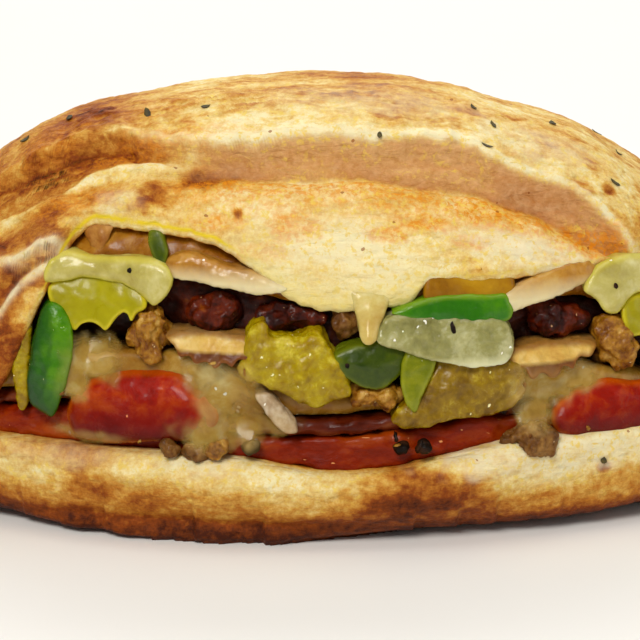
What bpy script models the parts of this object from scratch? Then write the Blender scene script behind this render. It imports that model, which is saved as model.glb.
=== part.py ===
"""A stromboli: one baked dough shell, open along its front, over layers and pieces of filling.

Metres, +Z up. X runs along the loaf, -Y is the open front, and the origin is on the table under the middle.
"""

import math
import random

import bmesh
import bpy
from mathutils import Matrix, Vector, noise
from mathutils.bvhtree import BVHTree

# Driving sizes of the loaf
LENGTH = 0.194
DEPTH = 0.100
HEIGHT = 0.0775
NOSE_HEIGHT = 0.010  # the ends' tips, above the table, where the loaf is also widest
FRONT_POWER = 1.8  # roundness of an outline: 2 is an ellipse, more is squarer
BACK_POWER = 2.3
RIDGE_POWER = 2.0
UNDERSIDE_POWER = 5.0
DOME_POWER = 2.3
BASE_POWER = 5.5

# The opening along the front, and the hollow that the filling lies in
MOUTH_SPAN = (-0.066, -0.040, 0.064, 0.080)  # where the lip rises, is up, comes down and meets the rim
HOLLOW_SPAN = (-0.069, -0.060, 0.074, 0.083)
RIM_HEIGHT = 0.0185  # top of the bottom crust at the front
RIM_DIP = 0.0030  # how far it dips in the middle
RIM_DIP_PLACE = (0.006, 0.014)  # the dip's middle, and its half width
RIM_RISE = 0.0020  # how much higher it is on the right
RIM_RISE_SPAN = (0.024, 0.040)
RIM_SHARE = 0.30  # the most it may take of the height above the nose, towards the ends
LIP_HEIGHT = 0.0585  # lower edge of the top crust at the front, on the left
LIP_FALL = 0.0080  # how much lower it is on the right
LIP_FALL_SPAN = (0.010, 0.034)
LIP_SAG = 0.0095  # how far it hangs down in the middle
LIP_SAG_PLACE = (0.004, 0.017)
LEAST_OPENING = 0.0025
CRUST_TOP = 0.009  # thickness of the dough over the filling
CRUST_BACK = 0.012
CRUST_FLOOR = 0.0125
LIP_THICK = 0.0065
LIP_SWELL = 0.5  # how much thicker the lip is where it hangs down
LIP_SWELL_PLACE = (0.006, 0.020)
BROW = 0.006  # how far in from the lip its underside turns up

# Folds of the dough. Their lines and widths are angles above the front, in degrees; the lines run over x
FLAP_LINE = ((-0.058, 75), (-0.030, 68), (-0.010, 72), (0.023, 68), (0.045, 65), (0.060, 59))
CREASE_LINE = ((-0.020, 60), (0.001, 63), (0.028, 62), (0.042, 58), (0.060, 57))
LEFT_FOLD_LINE = ((-0.058, 50), (-0.047, 53), (-0.036, 52))
FLAP_STEP = 0.0034
FLAP_FADE = (8, 40)  # above its edge, where the flap's extra height starts and stops fading
FLAP_SPAN = (-0.076, -0.050, 0.054, 0.074)  # where it rises from the loaf and goes back into it
CREASE_DEPTH = 0.0028
CREASE_WIDTH = 2.5
CREASE_SPAN = (-0.032, -0.018, 0.054, 0.074)
LEFT_FOLD_STEP = 0.0026
LEFT_FOLD_FADE = (3, 14)
LEFT_FOLD_SPAN = (-0.084, -0.070, -0.040, -0.026)
EDGE_WIDTH = 1.5  # over which a fold's edge steps up
UNEVENNESS = 0.0010
FLAT_BELOW = 0.0006  # the underside lies flat on the table below this height
BASE_LEDGE = 0.0050  # how far the thin edge of the base stands out on the table
LEDGE_PLACE = (-0.022, 0.032)  # its middle, and how far it reaches to both sides
LEDGE_DEPTH = (0.025, 0.040)  # how far in front of the loaf's middle it starts
LEDGE_TOP = (0.0015, 0.0060)  # heights over which it ends
RELIEF_START = (0.004, 0.012)  # heights over which folds and unevenness come in
RELIEF_END = (0.080, 0.094)  # distances from the middle over which they end

# Fineness and spacing
STATIONS = 44  # sections along the loaf
OUTER_CONTROLS = 27
FINE_STEPS = 240  # for measuring lengths along a section's outline
EDGE_CROWDING = 0.085  # how much closer a section's points are near the rim and the lip
OUTER_STEPS = 33  # points round the outside of a section
INNER_STEPS = 11
LAYER_STEPS = 14
LAYER_BULGE = 0.0012  # how far a layer's front is rounded out
STRIP_SIDES = 8
LEAST_SHARE = 0.1  # of a piece's volume, that each cut leaves
GAP = 0.0003  # between neighbouring pieces
WALL_GAP = 0.00045  # between the filling and the dough
ROOM_ENDS = (-0.0645, 0.0785)  # the filling's two ends
FACE_BULGE = 0.005  # how far the filling may stand out of the opening
FACE_BACK = (0.0045, 0.0025)  # how far its face lies behind the rim and behind the lip
FACE_STEPS = 5

# Lines between the layers at the front: height over x
PEPPERONI_TOP = (
    (-0.062, 0.0215), (-0.048, 0.0250), (-0.034, 0.0215), (0.005, 0.0205), (0.034, 0.0230), (0.076, 0.0200),
)
HAM_TOP = (
    (-0.062, 0.0245), (-0.048, 0.0275), (-0.030, 0.0245), (0.005, 0.0240), (0.034, 0.0255), (0.076, 0.0225),
)
CHEESE_TOP = (
    (-0.062, 0.0300), (-0.042, 0.0345), (-0.020, 0.0350), (0.005, 0.0285), (0.036, 0.0340), (0.076, 0.0260),
)
MEAT_TOP = (
    (-0.062, 0.0400), (-0.048, 0.0470), (-0.032, 0.0470), (-0.024, 0.0485), (-0.004, 0.0452),
    (0.017, 0.0445), (0.030, 0.0450), (0.045, 0.0440), (0.062, 0.0380), (0.076, 0.0300),
)
UPPER_CHEESE_TOP = ((-0.045, 0.0900), (-0.040, 0.0545), (-0.024, 0.0560), (-0.016, 0.0900))

# Herb flakes that lie on the dough: (x, angle above the front in degrees)
SEEN_FLAKES = (
    (-0.0555, 83), (-0.0470, 84), (-0.0315, 77), (-0.0205, 76), (0.0120, 68), (0.0320, 69), (0.0335, 75),
    (0.0300, 79), (0.0455, 83), (0.0590, 89), (0.0565, 70), (0.0620, 66), (0.0540, 6),
)
BACK_FLAKES = 8
FLAKE_SIZE = Vector((0.0011, 0.0006, 0.0004))  # half sizes
FLAKE_EDGE = 50  # degrees between faces, past which an edge of the dough is shaded sharp

CRUST_COLOUR = (0.72, 0.45, 0.20, 1)
PEPPERONI_COLOUR = (0.36, 0.06, 0.03, 1)
HAM_COLOUR = (0.62, 0.28, 0.24, 1)
CHEESE_COLOUR = (0.87, 0.78, 0.45, 1)
CHEDDAR_COLOUR = (0.70, 0.38, 0.03, 1)
MEAT_COLOUR = (0.20, 0.06, 0.03, 1)
SAUSAGE_COLOUR = (0.42, 0.22, 0.09, 1)
BURNT_COLOUR = (0.05, 0.02, 0.01, 1)
GREEN_PEPPER_COLOUR = (0.10, 0.35, 0.03, 1)
BANANA_PEPPER_COLOUR = (0.62, 0.55, 0.05, 1)
ONION_COLOUR = (0.75, 0.76, 0.55, 1)
MUSHROOM_COLOUR = (0.75, 0.56, 0.28, 1)
TOMATO_COLOUR = (0.60, 0.08, 0.02, 1)


def smooth_step(low, high, value):
    t = min(1.0, max(0.0, (value - low) / (high - low)))
    return t * t * (3 - 2 * t)


def between(span, x):
    """1 inside a span of four places along x, 0 outside it, and smooth at both sides."""
    return smooth_step(span[0], span[1], x) * (1 - smooth_step(span[2], span[3], x))


def bump(centre, half_width, value):
    """1 at the centre, with a broad top, falling to 0.5 at the half width."""
    return 1 / (1 + ((value - centre) / half_width) ** 4)


def swell(t, power):
    """A superellipse's height over t, from 1 at 0 to 0 at -1 and 1."""
    return max(0.0, 1 - abs(t) ** power) ** (1 / power)


def smooth_curve(points, x):
    """The value at x of a smooth line through (x, value) points, level beyond both ends."""
    if x <= points[0][0]:
        return points[0][1]
    if x >= points[-1][0]:
        return points[-1][1]
    last = len(points) - 1
    i = max(k for k in range(last) if points[k][0] <= x)

    def slope(k):
        if k in (0, last):
            return 0.0
        return (points[k + 1][1] - points[k - 1][1]) / (points[k + 1][0] - points[k - 1][0])

    (x0, value0), (x1, value1) = points[i], points[i + 1]
    step = x1 - x0
    t = (x - x0) / step
    rise = t * t * (3 - 2 * t)
    bend = t * (1 - t) * ((1 - t) * slope(i) - t * slope(i + 1)) * step
    return value0 + (value1 - value0) * rise + bend


# ---- the loaf's outside ----


def front_y(x):
    return -DEPTH / 2 * swell(2 * x / LENGTH, FRONT_POWER)


def back_y(x):
    return DEPTH / 2 * swell(2 * x / LENGTH, BACK_POWER)


def top_z(x):
    return NOSE_HEIGHT + (HEIGHT - NOSE_HEIGHT) * swell(2 * x / LENGTH, RIDGE_POWER)


def under_z(x):
    return NOSE_HEIGHT * (1 - swell(2 * x / LENGTH, UNDERSIDE_POWER))


def dome_z(x, y):
    edge_y = front_y(x) if y < 0 else back_y(x)
    return NOSE_HEIGHT + (top_z(x) - NOSE_HEIGHT) * swell(y / edge_y, DOME_POWER)


def outside(x, angle):
    """The outline (y, z) of section x before its folds. Angle 0 is the back, a quarter turn the top."""
    across, up = math.cos(angle), math.sin(angle)
    half_width = max(back_y(x) if across > 0 else -front_y(x), 1e-6)
    half_height = max(top_z(x) - NOSE_HEIGHT if up > 0 else NOSE_HEIGHT - under_z(x), 1e-6)
    power = DOME_POWER if up > 0 else BASE_POWER
    radius = (abs(across / half_width) ** power + abs(up / half_height) ** power) ** (-1 / power)
    return radius * across, NOSE_HEIGHT + radius * up


def front_surface_y(x, z):
    """Where the outline of section x is at height z, on the front."""
    rise = (z - NOSE_HEIGHT) / max(top_z(x) - NOSE_HEIGHT, 1e-6)
    return min(front_y(x) * swell(min(max(rise, -0.98), 0.98), DOME_POWER), -1e-6)


def rim_z(x):
    rim = RIM_HEIGHT - RIM_DIP * bump(*RIM_DIP_PLACE, x) + RIM_RISE * smooth_step(*RIM_RISE_SPAN, x)
    return min(rim, RIM_SHARE * (top_z(x) - NOSE_HEIGHT) + NOSE_HEIGHT)


def lip_z(x):
    lip = LIP_HEIGHT - LIP_FALL * smooth_step(*LIP_FALL_SPAN, x) - LIP_SAG * bump(*LIP_SAG_PLACE, x)
    shut = rim_z(x) + LEAST_OPENING
    return shut + (lip - shut) * between(MOUTH_SPAN, x)


def outer_controls(x):
    """Points of section x from the rim, round below and behind, to the lip, at even distances."""
    start = math.atan2(rim_z(x) - NOSE_HEIGHT, front_surface_y(x, rim_z(x)))
    end = math.atan2(lip_z(x) - NOSE_HEIGHT, front_surface_y(x, lip_z(x))) + 2 * math.pi
    fine = [outside(x, start + (end - start) * i / FINE_STEPS) for i in range(FINE_STEPS + 1)]
    lengths = [0.0]
    for (y0, z0), (y1, z1) in zip(fine, fine[1:]):
        lengths.append(lengths[-1] + math.hypot(y1 - y0, z1 - z0))
    points = []
    at = 0
    for i in range(OUTER_CONTROLS):
        wanted = lengths[-1] * i / (OUTER_CONTROLS - 1)
        while at < len(lengths) - 1 and lengths[at] < wanted:
            at += 1
        points.append(fine[at])
    return points


def inner_controls(x, lip_point, rim_point):
    """Points of the hollow's wall in section x, from the lip back over the filling to the rim."""
    (lip_y, lip), (rim_y, rim) = lip_point, rim_point
    back, top = back_y(x), top_z(x)
    thick = LIP_THICK * (1 + LIP_SWELL * bump(*LIP_SWELL_PLACE, x))
    brow_y = lip_y + thick + BROW
    return [
        (lip_y + 0.3 * thick, lip - 0.3 * LIP_THICK),
        (lip_y + thick, lip - 0.1 * LIP_THICK),
        (brow_y, min(lip + BROW, dome_z(x, brow_y) - 0.8 * CRUST_TOP)),
        (lip_y * 0.30, dome_z(x, lip_y * 0.30) - CRUST_TOP),
        (back * 0.20, dome_z(x, back * 0.20) - CRUST_TOP),
        (back * 0.58, dome_z(x, back * 0.58) - 1.2 * CRUST_TOP),
        (back - CRUST_BACK, top * 0.50),
        (back - CRUST_BACK, top * 0.26),
        (back - 1.7 * CRUST_BACK, CRUST_FLOOR),
        (back * 0.10, CRUST_FLOOR),
        (rim_y + 1.6 * CRUST_FLOOR, 1.1 * CRUST_FLOOR),
        (rim_y + 0.6 * CRUST_FLOOR, rim - 0.1 * CRUST_FLOOR),
    ]


def section_controls(x):
    """Control points (y, z) of the dough's section. Past the hollow the inner ones close up the mouth."""
    outer = outer_controls(x)
    inner = inner_controls(x, outer[-1], outer[0])
    share = between(HOLLOW_SPAN, x)
    start = math.atan2(outer[-1][1] - NOSE_HEIGHT, outer[-1][0])
    end = math.atan2(outer[0][1] - NOSE_HEIGHT, outer[0][0])
    points = list(outer)
    for i, (y, z) in enumerate(inner):
        shut_y, shut_z = outside(x, start + (end - start) * (i + 1) / (len(inner) + 1))
        points.append((shut_y + (y - shut_y) * share, shut_z + (z - shut_z) * share))
    return points


def spline_point(controls, at):
    """A point of the closed cubic B-spline over the controls, where at counts control points."""
    whole, u = divmod(at, 1.0)
    weights = (
        (1 - u) ** 3 / 6,
        (3 * u**3 - 6 * u**2 + 4) / 6,
        (-3 * u**3 + 3 * u**2 + 3 * u + 1) / 6,
        u**3 / 6,
    )
    near = [controls[(int(whole) + k - 1) % len(controls)] for k in range(4)]
    return sum(w * p[0] for w, p in zip(weights, near)), sum(w * p[1] for w, p in zip(weights, near))


def fold_height(above, fade):
    """A fold's height over the angle above its edge: a step up, then a slow fade."""
    return smooth_step(-EDGE_WIDTH, EDGE_WIDTH, above) * (1 - smooth_step(*fade, above))


def relief(x, y, z):
    """How far folds and unevenness lift the dough's outside at a point."""
    angle = math.degrees(math.atan2(z - NOSE_HEIGHT, -y))
    flap = fold_height(angle - smooth_curve(FLAP_LINE, x), FLAP_FADE) * between(FLAP_SPAN, x)
    left_fold = fold_height(angle - smooth_curve(LEFT_FOLD_LINE, x), LEFT_FOLD_FADE)
    left_fold *= between(LEFT_FOLD_SPAN, x)
    crease = bump(smooth_curve(CREASE_LINE, x), CREASE_WIDTH, angle) * between(CREASE_SPAN, x)
    uneven = noise.noise(Vector((x, y, z)) * 38) + 0.5 * noise.noise(Vector((x, y, z)) * 90)
    lift = FLAP_STEP * flap - CREASE_DEPTH * crease + LEFT_FOLD_STEP * left_fold + UNEVENNESS * uneven
    upper = smooth_step(*RELIEF_START, z)
    ends = 1 - smooth_step(*RELIEF_END, abs(x))
    ledge = BASE_LEDGE * bump(*LEDGE_PLACE, x) * smooth_step(*LEDGE_DEPTH, -y)
    return lift * upper * ends + ledge * (1 - smooth_step(*LEDGE_TOP, z))


# ---- meshes ----


def clear_scene():
    for obj in list(bpy.data.objects):
        bpy.data.objects.remove(obj, do_unlink=True)


def new_material(name, colour, roughness):
    material = bpy.data.materials.new(name)
    material.use_nodes = True
    shader = material.node_tree.nodes["Principled BSDF"]
    shader.inputs["Base Color"].default_value = colour
    shader.inputs["Roughness"].default_value = roughness
    return material


def new_object(name, bm, colour=None, roughness=0.5):
    """An object from a bmesh, with faces pointing out. One without a colour is only a tool for cutting."""
    bmesh.ops.recalc_face_normals(bm, faces=bm.faces)
    mesh = bpy.data.meshes.new(name)
    bm.to_mesh(mesh)
    bm.free()
    mesh.shade_smooth()
    obj = bpy.data.objects.new(name, mesh)
    bpy.context.scene.collection.objects.link(obj)
    if colour:
        mesh.materials.append(new_material(name, colour, roughness))
    else:
        obj.hide_render = True
        obj.display_type = "WIRE"
    return obj


def loft(rings, start=None, end=None):
    """A closed bmesh of triangles through rings of points. Each end is a fan to a point, or flat."""
    bm = bmesh.new()
    rows = [[bm.verts.new(point) for point in ring] for ring in rings]
    for row, following in zip(rows, rows[1:]):
        for i in range(len(row)):
            j = (i + 1) % len(row)
            bm.faces.new((row[i], row[j], following[j], following[i]))
    for row, tip in ((rows[0], start), (rows[-1], end)):
        if tip is None:
            bm.faces.new(row)
            continue
        pole = bm.verts.new(tip)
        for i in range(len(row)):
            bm.faces.new((row[i], row[(i + 1) % len(row)], pole))
    bmesh.ops.triangulate(bm, faces=bm.faces)
    return bm


def combine(target, tool, operation, solver="EXACT"):
    """Apply a Boolean with one object, or with all those of a collection."""
    modifier = target.modifiers.new("combine", "BOOLEAN")
    modifier.operation = operation
    modifier.solver = solver
    if isinstance(tool, bpy.types.Collection):
        modifier.operand_type = "COLLECTION"
        modifier.collection = tool
    else:
        modifier.object = tool
    bpy.context.view_layer.update()
    evaluated = target.evaluated_get(bpy.context.evaluated_depsgraph_get())
    mesh = bpy.data.meshes.new_from_object(evaluated)
    target.modifiers.clear()
    old = target.data
    target.data = mesh
    bpy.data.meshes.remove(old)
    mesh.name = target.name


def volume_of(mesh):
    """The mesh's volume, or 0 where an edge doesn't have just two faces."""
    bm = bmesh.new()
    bm.from_mesh(mesh)
    closed = all(len(edge.link_faces) == 2 for edge in bm.edges)
    volume = bm.calc_volume() if closed else 0.0
    bm.free()
    return volume


def cut(piece, tool):
    """Cut a tool's shape from a piece. Where the exact solver breaks the piece, the other one cuts."""
    before = piece.data.copy()
    for solver in ("EXACT", "MANIFOLD"):
        combine(piece, tool, "DIFFERENCE", solver)
        keep_largest(piece)
        if volume_of(piece.data) > LEAST_SHARE * volume_of(before):
            break
        piece.data = before.copy()
    bpy.data.meshes.remove(before)


def connected(start):
    """All vertices that can be reached from one vertex."""
    found, edge = {start}, [start]
    while edge:
        vert = edge.pop()
        for link in vert.link_edges:
            other = link.other_vert(vert)
            if other not in found:
                found.add(other)
                edge.append(other)
    return found


def keep_largest(obj):
    """Drop the scraps that cutting left."""
    bm = bmesh.new()
    bm.from_mesh(obj.data)
    left = set(bm.verts)
    parts = []
    while left:
        part = connected(next(iter(left)))
        left -= part
        parts.append(part)
    parts.sort(key=len, reverse=True)
    bmesh.ops.delete(bm, geom=[v for part in parts[1:] for v in part], context="VERTS")
    bm.to_mesh(obj.data)
    bm.free()


def grown(obj, distance):
    """A hidden copy whose surface is moved outwards, to cut a neighbour with room between the two."""
    bm = bmesh.new()
    bm.from_mesh(obj.data)
    bmesh.ops.triangulate(bm, faces=bm.faces)
    bm.normal_update()
    moves = [(vert, vert.normal * distance * min(vert.calc_shell_factor(), 1.6)) for vert in bm.verts]
    for vert, move in moves:
        vert.co += move
    return new_object(obj.name + "_grown", bm)


def box_of(obj):
    places = [vert.co for vert in obj.data.vertices]
    return [(min(p[i] for p in places), max(p[i] for p in places)) for i in range(3)]


def boxes_meet(a, b):
    return all(low <= other_high and other_low <= high for (low, high), (other_low, other_high) in zip(a, b))


# ---- the dough ----


def section_steps():
    """Where the points of a section lie, in control points: closer together near the rim and the lip."""
    outer = []
    for i in range(OUTER_STEPS):
        t = i / OUTER_STEPS
        outer.append((t - EDGE_CROWDING * math.sin(2 * math.pi * t)) * (OUTER_CONTROLS - 1))
    inner_span = len(section_controls(0.0)) - (OUTER_CONTROLS - 1)
    inner = [OUTER_CONTROLS - 1 + inner_span * i / INNER_STEPS for i in range(INNER_STEPS)]
    return outer, inner


def station_places():
    return [LENGTH / 2 * math.sin(math.pi * (i / STATIONS - 0.5)) for i in range(1, STATIONS)]


def crust_ring(x):
    controls = section_controls(x)
    outer, inner = section_steps()
    ring = []
    for i, at in enumerate(outer + inner):
        y, z = spline_point(controls, at)
        lift = relief(x, y, z) if 0 < i < len(outer) else 0.0
        out = Vector((y, z - NOSE_HEIGHT)).normalized() * lift
        height = z + out.y
        ring.append((x, y + out.x, height if height > FLAT_BELOW else 0.0))
    return ring


def flake_places():
    places = list(SEEN_FLAKES)
    rng = random.Random(11)
    for i in range(BACK_FLAKES):
        share = (i + 0.5) / BACK_FLAKES
        places.append((-0.062 + 0.124 * share + rng.uniform(-0.004, 0.004), rng.uniform(98, 150)))
    return places


def add_flakes(crust):
    """Lay the herb flakes on the dough, half sunk, and join them to it."""
    mesh = crust.data
    tree = BVHTree.FromPolygons([v.co for v in mesh.vertices], [p.vertices for p in mesh.polygons])
    flakes = bpy.data.collections.new("flakes")
    bpy.context.scene.collection.children.link(flakes)
    rng = random.Random(5)
    for x, angle in flake_places():
        out = Vector((0, -math.cos(math.radians(angle)), math.sin(math.radians(angle))))
        place, normal, _, _ = tree.ray_cast(Vector((x, 0, NOSE_HEIGHT)) + out * DEPTH, -out)
        bm = bmesh.new()
        bmesh.ops.create_icosphere(bm, subdivisions=1, radius=1.0)
        upright = normal.to_track_quat("Z", "X").to_matrix().to_4x4()
        turn = Matrix.Rotation(rng.uniform(0, math.pi), 4, "Z")
        shape = Matrix.Translation(place) @ upright @ turn @ Matrix.Diagonal((*FLAKE_SIZE, 1))
        bmesh.ops.transform(bm, matrix=shape, verts=bm.verts)
        flake = new_object("flake", bm)
        bpy.context.scene.collection.objects.unlink(flake)
        flakes.objects.link(flake)
    combine(crust, flakes, "UNION")
    crust.data.set_sharp_from_angle(angle=math.radians(FLAKE_EDGE))
    for flake in list(flakes.objects):
        bpy.data.objects.remove(flake, do_unlink=True)
    bpy.data.collections.remove(flakes)


def make_crust():
    rings = [crust_ring(x) for x in station_places()]
    ends = [(side * LENGTH / 2, 0, NOSE_HEIGHT) for side in (-1, 1)]
    crust = new_object("crust", loft(rings, *ends), CRUST_COLOUR, 0.85)
    add_flakes(crust)
    keep_largest(crust)
    return crust


# ---- the room that the filling takes ----


def face_y(x, z):
    """The front of the filling at height z: from the rim it leans back to the lip."""
    rim, lip = rim_z(x), lip_z(x)
    share = min(max((z - rim) / (lip - rim), 0.0), 1.0)
    low_y, high_y = front_y(x) + FACE_BACK[0], front_surface_y(x, lip) + FACE_BACK[1]
    return low_y + (high_y - low_y) * share**1.5


def room_ring(x):
    """The hollow's wall, moved in by the gap, and closed by a bulging front."""
    controls = section_controls(x)
    count = len(controls)
    _, inner = section_steps()
    wall = []
    for at in inner[1:] + [count]:
        y, z = spline_point(controls, at)
        before, after = spline_point(controls, at - 0.05), spline_point(controls, at + 0.05)
        along = Vector((after[0] - before[0], after[1] - before[1])).normalized()
        wall.append((x, y + along.y * WALL_GAP, z - along.x * WALL_GAP))
    (_, lip_y, lip), (_, rim_y, rim) = wall[0], wall[-1]
    bulge = min(FACE_BULGE, 0.35 * (lip - rim))
    face = []
    for i in range(1, FACE_STEPS):
        share = i / FACE_STEPS
        z = rim + (lip - rim) * share
        y = rim_y + (lip_y - rim_y) * share - bulge * math.sin(math.pi * share) ** 0.6
        face.append((x, y, z))
    return wall + face


def make_room():
    rings = [room_ring(x) for x in station_places() if ROOM_ENDS[0] <= x <= ROOM_ENDS[1]]
    return new_object("room", loft(rings))


# ---- layers that run through the filling ----


def make_layer(name, colour, bottom, top, recess, shoulder=None):
    """A band across the room between two lines over x. Its front is the filling's face, set back."""
    rings = []
    for i in range(LAYER_STEPS + 1):
        x = ROOM_ENDS[0] - 0.002 + (ROOM_ENDS[1] - ROOM_ENDS[0] + 0.004) * i / LAYER_STEPS
        low = smooth_curve(bottom, x) + GAP / 2
        high = smooth_curve(top, x) - GAP / 2
        front_top = smooth_curve(shoulder, x) if shoulder else high
        middle = (low + min(max(low, lip_z(x)), front_top)) / 2
        uneven = UNEVENNESS * noise.noise(Vector((x * 160, low * 300, 0)))
        y = face_y(x, middle) + recess + uneven
        rings.append([
            (x, y, low), (x, y - LAYER_BULGE, middle), (x, y, front_top), (x, y + 0.010, high),
            (x, DEPTH / 2, high), (x, DEPTH / 2, low),
        ])
    return new_object(name, loft(rings), colour, 0.4)


# ---- pieces that show at the front ----


def make_strip(
    name, colour, start, end, width, thick, proud=0.001, bow=0.0, taper=(1, 1), roundness=3, ripple=(0, 0)
):
    """A strip along the filling's face between two (x, z) points, with rounded ends.

    bow moves its middle to the left of its way, taper gives its widths at both ends,
    and ripple is the number and depth of the scallops along its right edge.
    """
    start, end = Vector(start), Vector(end)
    way = (end - start).normalized()
    side = Vector((-way.y, way.x))
    count = max(6, round((end - start).length / 0.0036) + (ripple[0] * 2))
    rings = []
    for i in range(1, count):
        t = 0.5 - 0.5 * math.cos(math.pi * i / count)
        centre = start + (end - start) * t + side * bow * (1 - (2 * t - 1) ** 2)
        half = width / 2 * (taper[0] + (taper[1] - taper[0]) * t) * swell(2 * t - 1, roundness)
        scallop = ripple[1] * math.sin(2 * math.pi * ripple[0] * t) if ripple[0] else 0.0
        depth = thick / 2 * swell(2 * t - 1, roundness + 1)
        y = face_y(centre.x, centre.y) + thick / 2 - proud
        ring = []
        for k in range(STRIP_SIDES):
            turn = 2 * math.pi * (k + 0.5) / STRIP_SIDES
            out = half * math.cos(turn) - (scallop if math.cos(turn) < 0 else 0.0) * swell(2 * t - 1, 4)
            place = centre + side * out
            ring.append((place.x, y + depth * math.sin(turn), place.y))
        rings.append(ring)
    tips = []
    for point, row in ((start, rings[0]), (end, rings[-1])):
        y = sum(p[1] for p in row) / len(row)
        tips.append((point.x, y, point.y))
    return new_object(name, loft(rings, *tips), colour, 0.35)


def make_crumb(name, colour, place, sizes, seed, proud=0.001, detail=2, rough=0.22):
    """A craggy lump at (x, z) on the filling's face, with half sizes along x, y and z."""
    bm = bmesh.new()
    bmesh.ops.create_icosphere(bm, subdivisions=detail, radius=1.0)
    x, z = place
    centre = Vector((x, face_y(x, z) + sizes[1] - proud, z))
    for vert in bm.verts:
        crag = noise.noise(vert.co * 1.9 + Vector((seed, 0, 0)))
        crag += 0.5 * noise.noise(vert.co * 4.1 + Vector((0, seed, 0)))
        vert.co = centre + vert.co * (1 + rough * crag) * Vector(sizes)
    return new_object(name, bm, colour, 0.6)


def fuse(target, *others):
    for other in others:
        combine(target, other, "UNION")
        bpy.data.objects.remove(other, do_unlink=True)
    keep_largest(target)
    return target


def left_pieces():
    return [
        make_strip(
            "pepper_strip_left", GREEN_PEPPER_COLOUR, (-0.0496, 0.0448), (-0.0508, 0.0212), 0.0094,
            0.0042, proud=0.0024, bow=0.0006, taper=(0.8, 1), roundness=2.4,
        ),
        make_strip("onion_strip_left", ONION_COLOUR, (-0.0545, 0.0425), (-0.0553, 0.0222), 0.0030, 0.0040),
        make_strip(
            "banana_ring_left", BANANA_PEPPER_COLOUR, (-0.0500, 0.0425), (-0.0312, 0.0435), 0.0088,
            0.0045, proud=0.0015, roundness=2.8, ripple=(4, 0.0009),
        ),
        fuse(
            make_strip(
                "cheese_ribbon_left", CHEESE_COLOUR, (-0.0545, 0.0450), (-0.0255, 0.0492), 0.0055,
                0.0060, proud=0.0026, bow=0.0030, taper=(0.5, 1),
            ),
            make_strip(
                "droop", CHEESE_COLOUR, (-0.0310, 0.0500), (-0.0296, 0.0438), 0.0066, 0.0056,
                proud=0.0027, taper=(1.1, 0.9), roundness=2.2,
            ),
        ),
        make_strip(
            "onion_flap_left", ONION_COLOUR, (-0.0404, 0.0575), (-0.0410, 0.0512), 0.0062, 0.0025,
            proud=0.0005, taper=(1.1, 0.4),
        ),
        make_strip(
            "pepper_bit_left", GREEN_PEPPER_COLOUR, (-0.0302, 0.0560), (-0.0284, 0.0520), 0.0036,
            0.0040, proud=0.0012,
        ),
        make_strip(
            "cheese_ledge_left", CHEESE_COLOUR, (-0.0265, 0.0515), (-0.0045, 0.0474), 0.0050, 0.0065,
            proud=0.0018, bow=0.0006, taper=(1.1, 0.7), roundness=4,
        ),
        make_crumb(
            "sausage_left", SAUSAGE_COLOUR, (-0.0307, 0.0380), (0.0044, 0.0050, 0.0062), 3,
            proud=0.0024,
        ),
        make_strip(
            "mushroom_left", MUSHROOM_COLOUR, (-0.0262, 0.0372), (-0.0112, 0.0368), 0.0036, 0.0080,
            proud=0.0018, bow=-0.0008, roundness=4,
        ),
        make_strip(
            "tomato_left", TOMATO_COLOUR, (-0.0462, 0.0225), (-0.0195, 0.0262), 0.0128, 0.0085,
            proud=0.0020, bow=0.0010, roundness=2.2,
        ),
        make_crumb(
            "sausage_bit_left", SAUSAGE_COLOUR, (-0.0267, 0.0190), (0.0021, 0.0022, 0.0017), 8,
            proud=0.0040,
        ),
        make_crumb(
            "sausage_bit_middle", SAUSAGE_COLOUR, (-0.0222, 0.0184), (0.0023, 0.0022, 0.0021), 9,
            proud=0.0042,
        ),
        make_crumb(
            "sausage_bit_right", SAUSAGE_COLOUR, (-0.0177, 0.0192), (0.0021, 0.0022, 0.0022), 10,
            proud=0.0040,
        ),
        make_crumb("meat_left", MEAT_COLOUR, (-0.0176, 0.0425), (0.0052, 0.0050, 0.0040), 12, proud=0.0),
    ]


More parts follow.
